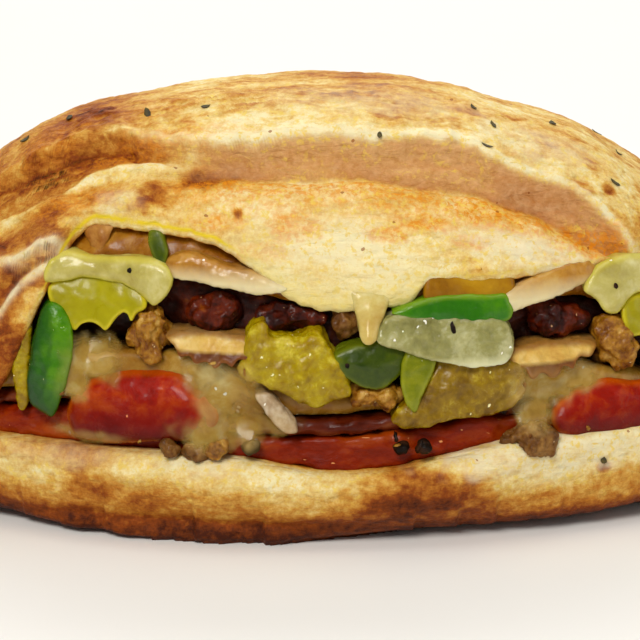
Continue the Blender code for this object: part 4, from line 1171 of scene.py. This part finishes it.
# %% A wet food finish from a few values
def food_finish(
    name, tones, mottle, edge=None, under=None, left=None, spots=None, gloss=(0.25, 0.5), grain=(500, 0.3),
    depth=0.0003, glow=0.1, coat=0.15, radius=(0.002, 0.0012, 0.0006), veil=0.85, shine=0.22, stretch=1.0,
):
    """A material for filling: tones from dark to light over a mottle scale, then the parts named above."""
    material, tree, shader, place = new_finish(name)
    place = add_node(tree, "ShaderNodeMapping", {"Vector": place, "Scale": (stretch, 1, 1)}).outputs[0]
    broad = clouds(tree, place, mottle, 0.5, 0.16)
    small = clouds(tree, place, mottle * 3.7, 0.5, 0.22)
    share = compute(tree, "MULTIPLY", broad, 0.65)
    share = compute(tree, "ADD", share, compute(tree, "MULTIPLY", small, 0.35))
    steps = [(i / (len(tones) - 1), tone) for i, tone in enumerate(tones)]
    colour = colour_ramp(tree, share, steps)
    if under:
        lower = remap(tree, read_attribute(tree, "rise"), under[1], under[2], 1.0, 0.0)
        colour = mix_colours(tree, lower, colour, paint(*under[0]))
    for tint, attribute in ((left, "leftness"), (edge, "edge")):
        if tint:
            colour = lay_over(tree, colour, read_attribute(tree, attribute), tint[1], tint[0])
    # Painted glints: small pale dots standing in for wet highlights
    if spots:
        colour = lay_over(tree, colour, dotted(tree, place, 1.7 * spots[1], 0.17, spots[2]), 1.0, spots[0])
    milk = marked(tree, "veiled", clouds(tree, place, 260, 0.80, 0.4))
    colour = lay_over(tree, colour, milk, veil, (196, 162, 92))
    # Painted shade: a near-black brown laid where the piece lies deep behind the filling's face
    colour = lay_over(tree, colour, read_attribute(tree, "hollow"), 0.90, (34, 10, 3))
    tree.links.new(colour, shader.inputs["Base Color"])
    tree.links.new(remap(tree, small, 0, 1, *gloss), shader.inputs["Roughness"])
    bumps = use_group(tree, crumble, {"Vector": place, "Scale": grain[0], "Pits": grain[1]})
    normal = add_node(tree, "ShaderNodeBump", {"Height": bumps, "Strength": 0.7, "Distance": depth})
    tree.links.new(normal.outputs[0], shader.inputs["Normal"])
    shader.inputs["Subsurface Weight"].default_value = glow
    shader.inputs["Subsurface Radius"].default_value = radius
    shader.inputs["Subsurface Scale"].default_value = 1.0
    shader.inputs["Coat Weight"].default_value = coat
    shader.inputs["Specular IOR Level"].default_value = shine
    shader.inputs["Coat Roughness"].default_value = 0.12
    return material


print("the food finish is ready")

# %% Finishes of the layers
pepperoni = food_finish(
    "pepperoni", ((80, 4, 0), (130, 32, 0), (164, 66, 4)), 150, spots=((222, 150, 90), 520, 0.12),
    gloss=(0.15, 0.45), grain=(420, 0.5), depth=0.0005, coat=0.08, shine=0.10, stretch=0.4,
)
ham = food_finish(
    "ham", ((54, 6, 0), (94, 28, 4), (142, 78, 34)), 170, gloss=(0.2, 0.5), grain=(340, 0.4), depth=0.0005,
    coat=0.08, shine=0.12, stretch=0.3,
)
milky_cheese = food_finish(
    "milky cheese", ((118, 66, 4), (158, 114, 34), (196, 164, 84)), 90, spots=((246, 242, 212), 260, 0.05),
    gloss=(0.12, 0.4), grain=(240, 0.2), glow=0.25, coat=0.15, radius=(0.003, 0.0022, 0.001),
)
dark_meat = food_finish(
    "dark meat", ((12, 0, 0), (54, 8, 0), (100, 28, 0), (150, 78, 10)), 190, gloss=(0.3, 0.6),
    spots=((214, 168, 120), 700, 0.08), grain=(420, 0.6), depth=0.0008, coat=0.12, shine=0.14,
)
amber_cheese = food_finish(
    "amber cheese", ((96, 46, 0), (150, 92, 8), (196, 146, 50)), 110, spots=((246, 236, 190), 300, 0.05),
    gloss=(0.15, 0.4), grain=(260, 0.3), glow=0.2, coat=0.12, radius=(0.003, 0.002, 0.001),
)
print("layer finishes made")

# %% Dress the layers
LAYER_VOXEL = 0.0008
SOFT = ((0.0005, 160), (0.0003, 420), (0.0001, 1200))
STRINGY = ((0.0006, 240), (0.0004, 600), (0.00015, 1400))
CRAGGY = ((0.0010, 190), (0.0006, 480), (0.0002, 1100))
finer_piece("pepperoni_layer", pepperoni, LAYER_VOXEL, STRINGY)
finer_piece("ham_layer", ham, LAYER_VOXEL, STRINGY)
finer_piece("cheese_layer", milky_cheese, LAYER_VOXEL, SOFT)
finer_piece("meat_layer", dark_meat, LAYER_VOXEL, CRAGGY)
finer_piece("upper_cheese_layer", amber_cheese, LAYER_VOXEL, SOFT)
print("5 layers dressed")

# %% [markdown]
# ## Vegetables
# Peppers are smooth and waxy, with a darker skin on one side and a brighter cut edge. Pickled pepper rings
# are olive yellow with a lively rim. Onion and mushroom are paler and let light in, and tomato is red and
# wet. Each slice is drawn as the few points of its outline.

# %% Finishes of peppers
green_skin = food_finish(
    "green pepper", ((26, 84, 0), (58, 118, 0), (96, 148, 2)), 90, left=((6, 58, 10), 0.85),
    under=((40, 74, 0), 0.0, 0.40), spots=((214, 226, 150), 900, 0.03), gloss=(0.10, 0.28), grain=(700, 0.1),
    glow=0.12, coat=0.2, veil=0.2,
)
light_green = food_finish(
    "light green pepper", ((80, 90, 0), (110, 118, 2), (150, 150, 26)), 110, edge=((156, 160, 30), 0.5),
    spots=((230, 236, 180), 800, 0.04), gloss=(0.10, 0.3), grain=(600, 0.15), glow=0.15, coat=0.15,
)
bright_green = food_finish(
    "bright green pepper", ((26, 92, 0), (44, 110, 0), (74, 134, 4)), 100, edge=((140, 170, 20), 0.5),
    gloss=(0.10, 0.25), grain=(600, 0.1), glow=0.15, coat=0.2,
)
dark_green = food_finish(
    "dark green pepper", ((36, 56, 0), (64, 80, 0), (106, 114, 8)), 120, edge=((120, 130, 20), 0.5),
    gloss=(0.12, 0.3), grain=(600, 0.15), glow=0.1, coat=0.15,
)
pickled = food_finish(
    "pickled pepper", ((142, 130, 0), (160, 150, 0), (174, 164, 2)), 70, edge=((218, 202, 40), 0.8),
    gloss=(0.25, 0.4), grain=(500, 0.05), depth=0.0001, glow=0.2, coat=0.15, veil=0.2,
)
yellow_flesh = food_finish(
    "yellow pepper flesh", ((112, 82, 0), (148, 118, 0), (174, 150, 2), (220, 204, 66)), 190,
    spots=((250, 246, 190), 520, 0.16), gloss=(0.1, 0.35), grain=(460, 0.6), depth=0.0006, glow=0.2,
    coat=0.18,
)
olive_flesh = food_finish(
    "olive pepper flesh", ((82, 50, 0), (116, 84, 0), (146, 114, 2), (194, 170, 40)), 180,
    spots=((244, 236, 170), 480, 0.08), gloss=(0.1, 0.35), grain=(440, 0.5), depth=0.0006, glow=0.2,
    coat=0.18,
)
print("7 finishes for peppers")

# %% Finishes of onion, mushroom and tomato
onion = food_finish(
    "onion", ((104, 100, 46), (152, 148, 88), (206, 202, 154)), 130, under=((232, 230, 188), 0.02, 0.24),
    spots=((250, 248, 230), 420, 0.12), gloss=(0.04, 0.2), grain=(260, 0.2), depth=0.0006, glow=0.35,
    coat=0.4, radius=(0.004, 0.003, 0.0015), veil=0.3,
)
cooked_onion = food_finish(
    "cooked onion", ((126, 92, 62), (172, 146, 112), (224, 212, 186)), 130, gloss=(0.08, 0.3),
    grain=(400, 0.3), spots=((250, 246, 232), 420, 0.12), glow=0.3, coat=0.2,
    radius=(0.003, 0.002, 0.0012), veil=0.6,
)
baked_flap = food_finish(
    "baked flap", ((140, 80, 16), (180, 126, 52), (210, 168, 100)), 160, gloss=(0.4, 0.6),
    grain=(500, 0.3), glow=0.15,
)
mushroom = food_finish(
    "mushroom", ((184, 128, 40), (214, 174, 84), (236, 210, 142)), 140, under=((98, 46, 4), 0.38, 0.50),
    edge=((130, 72, 14), 0.75), gloss=(0.35, 0.6), grain=(500, 0.4), depth=0.0005, glow=0.15, coat=0.1,
    veil=0.3,
)
# Painted shade: the tomato darkens towards its bottom (under), and its top stays a lighter orange.
tomato = food_finish(
    "tomato", ((104, 2, 0), (158, 22, 0), (206, 84, 0)), 100, edge=((216, 104, 4), 0.4),
    under=((84, 2, 0), 0.05, 0.85), spots=((228, 150, 90), 330, 0.05), gloss=(0.10, 0.35),
    grain=(240, 0.2), depth=0.0010, glow=0.08, coat=0.14, veil=0.75, shine=0.10,
)
print("4 finishes for onion, mushroom and tomato, and one for a baked flap")

# %% Slices on the left
JUICY = ((0.0004, 300), (0.00022, 800))
WRINKLY = ((0.0007, 240), (0.0004, 560), (0.00015, 1300))
slab(
    "pepper_strip_left", green_skin, (4.2, 2.6), (
        (-50, 43.2), (-51.8, 38.5), (-53.4, 31), (-53.4, 25.2), (-51, 23.2), (-48.6, 22.6), (-46.8, 27),
        (-45, 33.5), (-45, 39.4), (-47, 43),
    ), crown=0.30, lean=(-0.12, 0), soft=2.2,
)
slab(
    "onion_strip_left", yellow_flesh, (4.0, 1.0),
    ((-54, 41.5), (-55.8, 38), (-56.4, 30), (-55.6, 23), (-53.6, 24), (-53.2, 31), (-52.6, 38)), crags=JUICY,
)
slab(
    "banana_ring_left", pickled, (4.5, 1.5), (
        (-49.6, 45.4), (-47.8, 47.6), (-42.8, 48.8), (-36, 48.4), (-32, 46.8), (-31, 43.8), (-32.6, 42.6),
        (-33.8, 41), (-35.0, 42.4), (-36.6, 41.2), (-38.6, 39), (-40.8, 40.2), (-42.8, 39.8), (-44.6, 38.6),
        (-46.4, 40.9), (-48, 41.6),
    ), lean=(0, 0.08),
)
slab(
    "onion_flap_left", baked_flap, (2.5, 0.5),
    ((-43.8, 58.2), (-37.2, 58.2), (-38.2, 54.8), (-40.2, 51.2), (-42, 54)), crags=JUICY,
)
slab(
    "pepper_bit_left", dark_green, (4.0, 1.2),
    ((-30.6, 57), (-28.2, 57.2), (-26.8, 53.6), (-28, 50.8), (-30, 52.6)),
)
slab(
    "mushroom_left", mushroom, (8.0, 1.8),
    (
        (-27.6, 38.7), (-22, 39.7), (-15, 39.5), (-11, 38.9), (-11, 36.4), (-12.4, 35.2), (-13.6, 35.8),
        (-15, 34.4), (-16.6, 35.2), (-18.2, 34), (-19.8, 35), (-21.6, 34.5), (-23, 35.8), (-24.8, 35.6),
        (-26, 37.2),
    ), crown=0.0, lean=(0, 0.55), soft=0.7, crags=JUICY,
)
slab(
    "tomato_left", tomato, (8.5, 2.0), (
        (-46.4, 22.5), (-45, 26.4), (-40, 30.2), (-33, 31.9), (-26, 32), (-20.5, 29.6), (-17.6, 25.5),
        (-19, 21.4), (-26, 19.4), (-36, 18.8), (-44, 18.9),
    ), crown=0.12, lean=(0, 0.12), soft=3.2, crags=((0.0006, 150), (0.0002, 420)),
)
print("left slices laid")

# %% Slices in the middle
slab(
    "pepper_strip_top", bright_green, (6.0, 2.0),
    ((13.8, 44), (18, 45.8), (24, 46.9), (31, 46.6), (35.6, 46.2), (35.8, 41.6), (28, 41.2), (20, 42.2)),
    crown=0.10,
)
slab(
    "pepper_strip_light", light_green, (4.0, 2.6),
    ((17.2, 37.8), (22.2, 37.2), (21.8, 33.4), (19.8, 29), (18.4, 26), (16.4, 28.6), (15.7, 32.8)),
    lean=(0, 0.05),
)
slab(
    "pepper_wedge", dark_green, (5.5, 1.4),
    ((3.6, 36.8), (8, 38.6), (13, 39), (17.9, 37.6), (16.4, 33.2), (12.6, 30.2), (8.6, 30.6), (5, 33.2)),
    crown=0.30, lean=(0.06, 0),
)
slab(
    "banana_chunk_left", yellow_flesh, (7.0, 2.2), (
        (-13.6, 33), (-12.6, 39.8), (-9.6, 42.6), (-7.4, 40.2), (-3, 39.7), (0.4, 41.1), (2.8, 38.4),
        (5.8, 33.2), (6.6, 29.4), (3.8, 28.2), (0.6, 26.9), (-5, 29.4), (-9.5, 30.8),
    ), crown=0.15, soft=1.6, crags=WRINKLY,
)
slab(
    "banana_chunk_right", olive_flesh, (8.0, 1.8), (
        (14, 24.4), (16.8, 27.6), (19.6, 29.4), (22.4, 34.8), (28, 35), (35, 34.8), (38.8, 33), (39.4, 28.4),
        (36, 25), (29, 24.2), (22, 23), (16, 22.6),
    ), crown=0.15, soft=1.6, crags=WRINKLY,
)
slab(
    "onion_crescent", onion, (5.5, 3.0), (
        (11.2, 39.6), (12.3, 42.8), (15.4, 43.9), (22, 43.2), (29, 42.4), (34.4, 42.2), (36.6, 38.6),
        (35.6, 34.7), (30, 34), (22, 35.6), (15.6, 37.6),
    ), crown=0.10, lean=(0, 0.14), crags=JUICY,
)
slab(
    "onion_slice_low", cooked_onion, (4.0, 1.2),
    ((-11, 29), (-8.8, 29.6), (-7, 28.6), (-5.6, 26.4), (-3.6, 24.2), (-3.2, 22.2), (-5.8, 22.2), (-8, 24.6)),
    crags=JUICY,
)
print("middle slices laid")

# %% Slices on the right
slab(
    "pepper_strip_right", green_skin, (4.0, 2.2),
    ((69, 35), (72.4, 34), (73.4, 26), (72, 19.6), (69, 18.6), (66.8, 23), (66.8, 30)), crown=0.30,
)
slab(
    "banana_ring_right", pickled, (4.5, 1.5), (
        (57.4, 41), (60, 43.2), (66, 42.4), (71.6, 39), (71.2, 34.6), (68.4, 33), (66, 34.6), (63.4, 33.2),
        (61.4, 35.6), (58.8, 36),
    ), lean=(0, 0.08),
)
slab(
    "mushroom_right", mushroom, (7.0, 1.8),
    (
        (36, 35.4), (41, 36.4), (48, 36.2), (52.6, 35.4), (51, 33.4), (49.4, 33.6), (48, 31.8), (46, 32.4),
        (44.2, 30.8), (42, 31.8), (40.2, 31), (38.6, 32.6), (37, 32.8),
    ), crown=0.0, lean=(0, 0.55), soft=0.7, crags=JUICY,
)
slab(
    "tomato_right", tomato, (7.5, 2.0), (
        (44, 22.6), (47, 26.6), (53, 28.2), (61, 27.2), (68, 25), (71.4, 21.2), (68, 18), (60, 17.8),
        (51, 18), (46, 19.4),
    ), crown=0.12, lean=(0, 0.12), soft=3.2, crags=((0.0006, 150), (0.0002, 420)),
)
print("right slices laid")

# %% [markdown]
# ## Cheese and meat in front
# Melted cheese hangs over the meat in glossy ribbons and ledges, which are paler along the lower edge.
# Sausage is craggy and tan, burnt crumbs are almost black, and dark meat fills the hollows between them.

# %% Cheese and meat finishes
ribbon_cheese = food_finish(
    "ribbon cheese", ((156, 140, 54), (190, 178, 98), (224, 216, 158)), 100, edge=((206, 194, 66), 0.6),
    spots=((250, 248, 226), 380, 0.10), gloss=(0.05, 0.22), grain=(260, 0.1), glow=0.35, coat=0.25,
    radius=(0.003, 0.0024, 0.001), veil=0.2,
)
cream_cheese = food_finish(
    "glossy cheese", ((182, 142, 56), (208, 186, 108), (232, 222, 168)), 110,
    spots=((252, 250, 232), 300, 0.10), gloss=(0.05, 0.22), grain=(300, 0.2), depth=0.0003, glow=0.35,
    coat=0.25, radius=(0.003, 0.0024, 0.001),
)
ledge_cheese = food_finish(
    "ledge cheese", ((142, 86, 16), (184, 132, 50), (206, 170, 96)), 110, under=((224, 208, 160), 0.30, 0.72),
    spots=((252, 250, 232), 300, 0.12), gloss=(0.05, 0.25), grain=(300, 0.2), depth=0.0003, glow=0.3,
    coat=0.2, radius=(0.003, 0.0024, 0.001), veil=0.2,
)
cheddar = food_finish(
    "cheddar", ((126, 76, 0), (162, 112, 0), (190, 144, 14)), 90, gloss=(0.25, 0.45), grain=(300, 0.1),
    glow=0.2, coat=0.1,
)
sausage = food_finish(
    "sausage", ((60, 22, 0), (122, 68, 4), (172, 118, 26), (216, 176, 92)), 330, gloss=(0.2, 0.5),
    grain=(560, 0.7), depth=0.0009, coat=0.15, veil=0.3, spots=((240, 210, 150), 700, 0.08),
)
brown_sausage = food_finish(
    "brown sausage", ((60, 28, 6), (112, 70, 24), (160, 118, 58)), 300, spots=((226, 190, 140), 640, 0.10),
    gloss=(0.2, 0.5), grain=(520, 0.7), depth=0.0008, coat=0.12, shine=0.15,
)
burnt = food_finish(
    "burnt crumb", ((6, 2, 0), (22, 10, 3), (66, 34, 12)), 300, gloss=(0.4, 0.7), grain=(600, 0.6), glow=0.0,
    coat=0.05, shine=0.12,
)
print("7 finishes for cheese and meat")

# %% Ribbons, ledges and slices of cheese
MELTED = ((0.0004, 200), (0.00015, 520))
BEADED = ((0.0003, 220), (0.0002, 900))
slab(
    "cheese_ribbon_left", ribbon_cheese, (6.0, 2.6), (
        (-50, 47.4), (-49.2, 51), (-46, 52.8), (-42, 52), (-37, 52.2), (-31, 52.4), (-27, 51.5), (-25.9, 49),
        (-27.5, 45.5), (-29.8, 44), (-32, 46), (-36, 47.6), (-42, 48.2), (-46, 47.4),
    ), crown=0.20, lean=(0, -0.08), soft=1.6, crags=MELTED,
)
slab(
    "cheese_ledge_left", ledge_cheese, (6.5, 1.8), (
        (-27, 52.4), (-22.7, 53.8), (-16.2, 52.2), (-9.4, 50.8), (-4.6, 48.6), (-8.8, 47), (-14.5, 47.6),
        (-21, 48.6), (-26.4, 49.4),
    ), crown=0.10, lean=(0, -0.05), soft=1.4, crags=BEADED,
)
slab(
    "cheese_drip", cream_cheese, (5.0, 2.4),
    (
        (5.6, 49), (14.8, 49), (13.4, 45), (12.4, 43), (11.8, 41.4), (11.4, 39.8), (10.2, 39), (8.9, 39.1),
        (8, 40.2), (7.8, 42), (7.2, 44.6),
    ), crown=0.30, lean=(0, 0.40), soft=2.2, crags=MELTED,
)
slab(
    "cheddar_slice", cheddar, (5.0, 1.2),
    ((20, 47.4), (21, 50.6), (27, 51.8), (33, 51.6), (36.4, 49.8), (36.4, 45.4), (28, 45.6), (21, 45.8)),
    crown=0.05,
)
slab(
    "cheese_ribbon_right", ribbon_cheese, (6.0, 2.6), (
        (49.8, 45.6), (52.4, 49.4), (57, 50.6), (63, 50.2), (69, 48.2), (72.6, 44), (72.8, 40.6), (68, 42),
        (62, 43.6), (59, 43), (56.8, 40.6), (54.4, 40.8), (52.4, 43.4),
    ), crown=0.20, lean=(0, -0.08), soft=1.6, crags=MELTED,
)
slab(
    "cheese_ledge_right", ledge_cheese, (6.5, 1.8),
    ((34.2, 45.6), (38, 47.8), (45, 50.4), (51.2, 50.6), (52, 47.6), (46, 45), (40, 43.6), (34.8, 42.6)),
    crown=0.10, lean=(0, -0.05), soft=1.4, crags=BEADED,
)
print("cheese laid")

# %% Lumps of meat
CRUMBLY = ((0.0014, 230), (0.0010, 520), (0.0004, 1200))
TORN = ((0.0020, 150), (0.0012, 380), (0.0004, 1000))
CHARRED = ((0.0008, 420), (0.0005, 900))
LUMPS = (
    ("sausage_left", sausage, "sausage", CRUMBLY),
    ("sausage_right", sausage, "sausage", CRUMBLY),
    ("sausage_pale", sausage, "sausage", CRUMBLY),
    ("sausage_dark_small", brown_sausage, "sausage", CRUMBLY),
    ("sausage_low_right", brown_sausage, "sausage", CRUMBLY),
    ("sausage_bit_left", brown_sausage, "sausage", CHARRED),
    ("sausage_bit_middle", brown_sausage, "sausage", CHARRED),
    ("sausage_bit_right", sausage, "sausage", CHARRED),
    ("meat_left", dark_meat, "meat", TORN),
    ("meat_right", dark_meat, "meat", TORN),
    ("sausage_dark", dark_meat, "meat", TORN),
    ("burnt_bit_left", burnt, "burnt", CHARRED),
    ("burnt_bit_middle", burnt, "burnt", CHARRED),
    ("burnt_bit_right", burnt, "burnt", CHARRED),
)
for name, finish, slot, crags in LUMPS:
    finer_piece(name, finish, crags=crags)
print(len(LUMPS), "lumps dressed")

# %% [markdown]
# ## Melted cheese
# In the oven cheese runs over the filling, bridges gaps and leaves the highest pieces bare. A fine net is
# dropped on the filling from the front by rays. Each point then takes its nearest neighbour's depth, so
# that the net lies over what stands out, and smoothing only its depth pulls it taut over the gaps. It fades
# out towards the edges of the milky patches, as a thin film does.

# %% Drop the net
NET_LOW, NET_HIGH = Vector((-0.052, 0.017)), Vector((0.060, 0.054))
NET_STEP = 0.00045
DEEPEST = 0.004
PULL_ROUNDS = 60
solid_points, solid_faces = [], []
for piece in fine_pieces:
    start = len(solid_points)
    solid_points.extend(v.co for v in piece.data.vertices)
    solid_faces.extend([start + i for i in polygon.vertices] for polygon in piece.data.polygons)
surface = BVHTree.FromPolygons(solid_points, solid_faces)
size = NET_HIGH - NET_LOW
bm = bmesh.new()
bmesh.ops.create_grid(bm, x_segments=round(size.x / NET_STEP), y_segments=round(size.y / NET_STEP), size=1.0)
for vert in bm.verts:
    x = NET_LOW.x + size.x * (vert.co.x + 1) / 2
    z = NET_LOW.y + size.y * (vert.co.y + 1) / 2
    spot = surface.ray_cast(Vector((x, -DEPTH, z)), Vector((0, 1, 0)))[0]
    deepest = face_y(x, z) + DEEPEST
    vert.co = (x, min(spot.y, deepest) if spot else deepest, z)
nearest = [min(v.co.y, *(edge.other_vert(v).co.y for edge in v.link_edges)) for v in bm.verts]
for vert, depth in zip(bm.verts, nearest):
    vert.co.y = depth
for _ in range(PULL_ROUNDS):
    smooth(bm, (False, True, False))
print("net of", len(bm.verts), "points over", len(solid_faces), "faces")

# %% Let the cheese melt
RAISE, FILM_THICK = 0.0003, 0.0005
FILM_RIPPLES = ((0.00025, 420), (0.0001, 1100))
BARE_BELOW = 0.02
FADES_FROM, DENSEST = 0.12, 0.62
bare = set()
for vert in bm.verts:
    cover = milkiness(vert.co.x, vert.co.z)
    vert.co.y += ripples(vert.co, FILM_RIPPLES) - RAISE * smooth_step(0.0, 0.4, cover)
    if cover < BARE_BELOW:
        bare.add(vert)
bmesh.ops.delete(bm, geom=[f for f in bm.faces if all(v in bare for v in f.verts)], context="FACES")
bmesh.ops.recalc_face_normals(bm, faces=bm.faces)
bmesh.ops.solidify(bm, geom=bm.faces[:], thickness=FILM_THICK)
bmesh.ops.recalc_face_normals(bm, faces=bm.faces)
melted_cheese = food_finish(
    "melted cheese", ((150, 104, 20), (196, 158, 72), (234, 218, 152)), 90,
    spots=((252, 248, 224), 300, 0.10), gloss=(0.04, 0.2), grain=(180, 0.1), depth=0.0003, glow=0.3,
    coat=0.25, radius=(0.003, 0.0022, 0.001), veil=0.0,
)
tree = melted_cheese.node_tree
fading = remap(tree, read_attribute(tree, "veiled"), FADES_FROM, 1.0, 0.0, DENSEST)
tree.links.new(fading, tree.nodes["Principled BSDF"].inputs["Alpha"])
bm.normal_update()
mark_piece(bm)
film = add_object("melted_cheese", bm)
film.data.materials.append(melted_cheese)
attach(film, "root")
print("melted cheese with", len(film.data.polygons), "faces")

# %% [markdown]
# ## Crumbs and flecks
# Loose crumbs of meat and burnt scraps end up everywhere in such a dish. Each is a small icosphere, pressed
# flat, crumpled by noise and laid where a ray from the front meets the filling.

# %% Places of crumbs and flecks: (x, z, half length, half height, turn)
BLACK_FLECKS = (
    (0.0253, 0.0411, 0.0014, 0.0005, 0.1), (0.0150, 0.0205, 0.0010, 0.0004, 0.4),
    (0.0193, 0.0200, 0.0012, 0.0005, -0.3), (-0.0340, 0.0505, 0.0005, 0.0005, 0.0),
    (-0.0110, 0.0250, 0.0009, 0.0005, 0.8), (0.0060, 0.0350, 0.0005, 0.0004, 0.2),
    (0.0560, 0.0460, 0.0006, 0.0004, 0.5), (0.0350, 0.0240, 0.0008, 0.0005, 1.1),
)
rng = random.Random(3)
CRUMBS = []
while len(CRUMBS) < 18:
    x, z = rng.uniform(-0.048, 0.052), rng.uniform(0.0185, 0.040)
    if milkiness(x, z) > 0.3 or z < 0.0215:
        CRUMBS.append((x, z, rng.uniform(0.0003, 0.0008), rng.uniform(0.0003, 0.0005), rng.uniform(0, 3)))
print(len(BLACK_FLECKS), "flecks and", len(CRUMBS), "crumbs")


# %% Lay crumbs and flecks
def lay_crumb(bm, tree, x, z, half_length, half_height, turn):
    """Add one crumb where a ray along +Y meets the filling."""
    spot, normal, _, _ = tree.ray_cast(Vector((x, -DEPTH, z)), Vector((0, 1, 0)))
    made = bmesh.ops.create_icosphere(bm, subdivisions=2, radius=1.0)["verts"]
    for vert in made:
        vert.co *= 1 + 0.8 * noise.noise(vert.co * 1.8 + Vector((x, z, turn)) * 900)
        vert.co = (vert.co.x * half_length, vert.co.y * half_height, vert.co.z * 0.45 * half_height)
    upright = normal.to_track_quat("Z", "X").to_matrix().to_4x4()
    place = Matrix.Translation(spot) @ upright @ Matrix.Rotation(turn, 4, "Z")
    bmesh.ops.transform(bm, matrix=place, verts=made)


for name, crumbs, finish in (("burnt_flecks", BLACK_FLECKS, burnt), ("meat_crumbs", CRUMBS, sausage)):
    bm = bmesh.new()
    for crumb in crumbs:
        lay_crumb(bm, surface, *crumb)
    bm.normal_update()
    mark_piece(bm)
    scraps = add_object(name, bm)
    scraps.data.materials.append(finish)
    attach(scraps, "root")
    print(name, len(crumbs))

# %% [markdown]
# ## The table's finish
# The table stays plain and pale. A faint cloud in its tone keeps it from looking like a cut-out.

# %% Table material
pale, tree, shader, place = new_finish("pale table")
cloudy = clouds(tree, place, 4, 0.5, 0.4)
colour = mix_colours(tree, cloudy, paint(238, 236, 232), paint(244, 243, 240))
tree.links.new(colour, shader.inputs["Base Color"])
tree.links.new(remap(tree, cloudy, 0, 1, 0.7, 0.8), shader.inputs["Roughness"])
table.data.materials.append(pale)
print("table finish with", len(tree.nodes), "nodes")
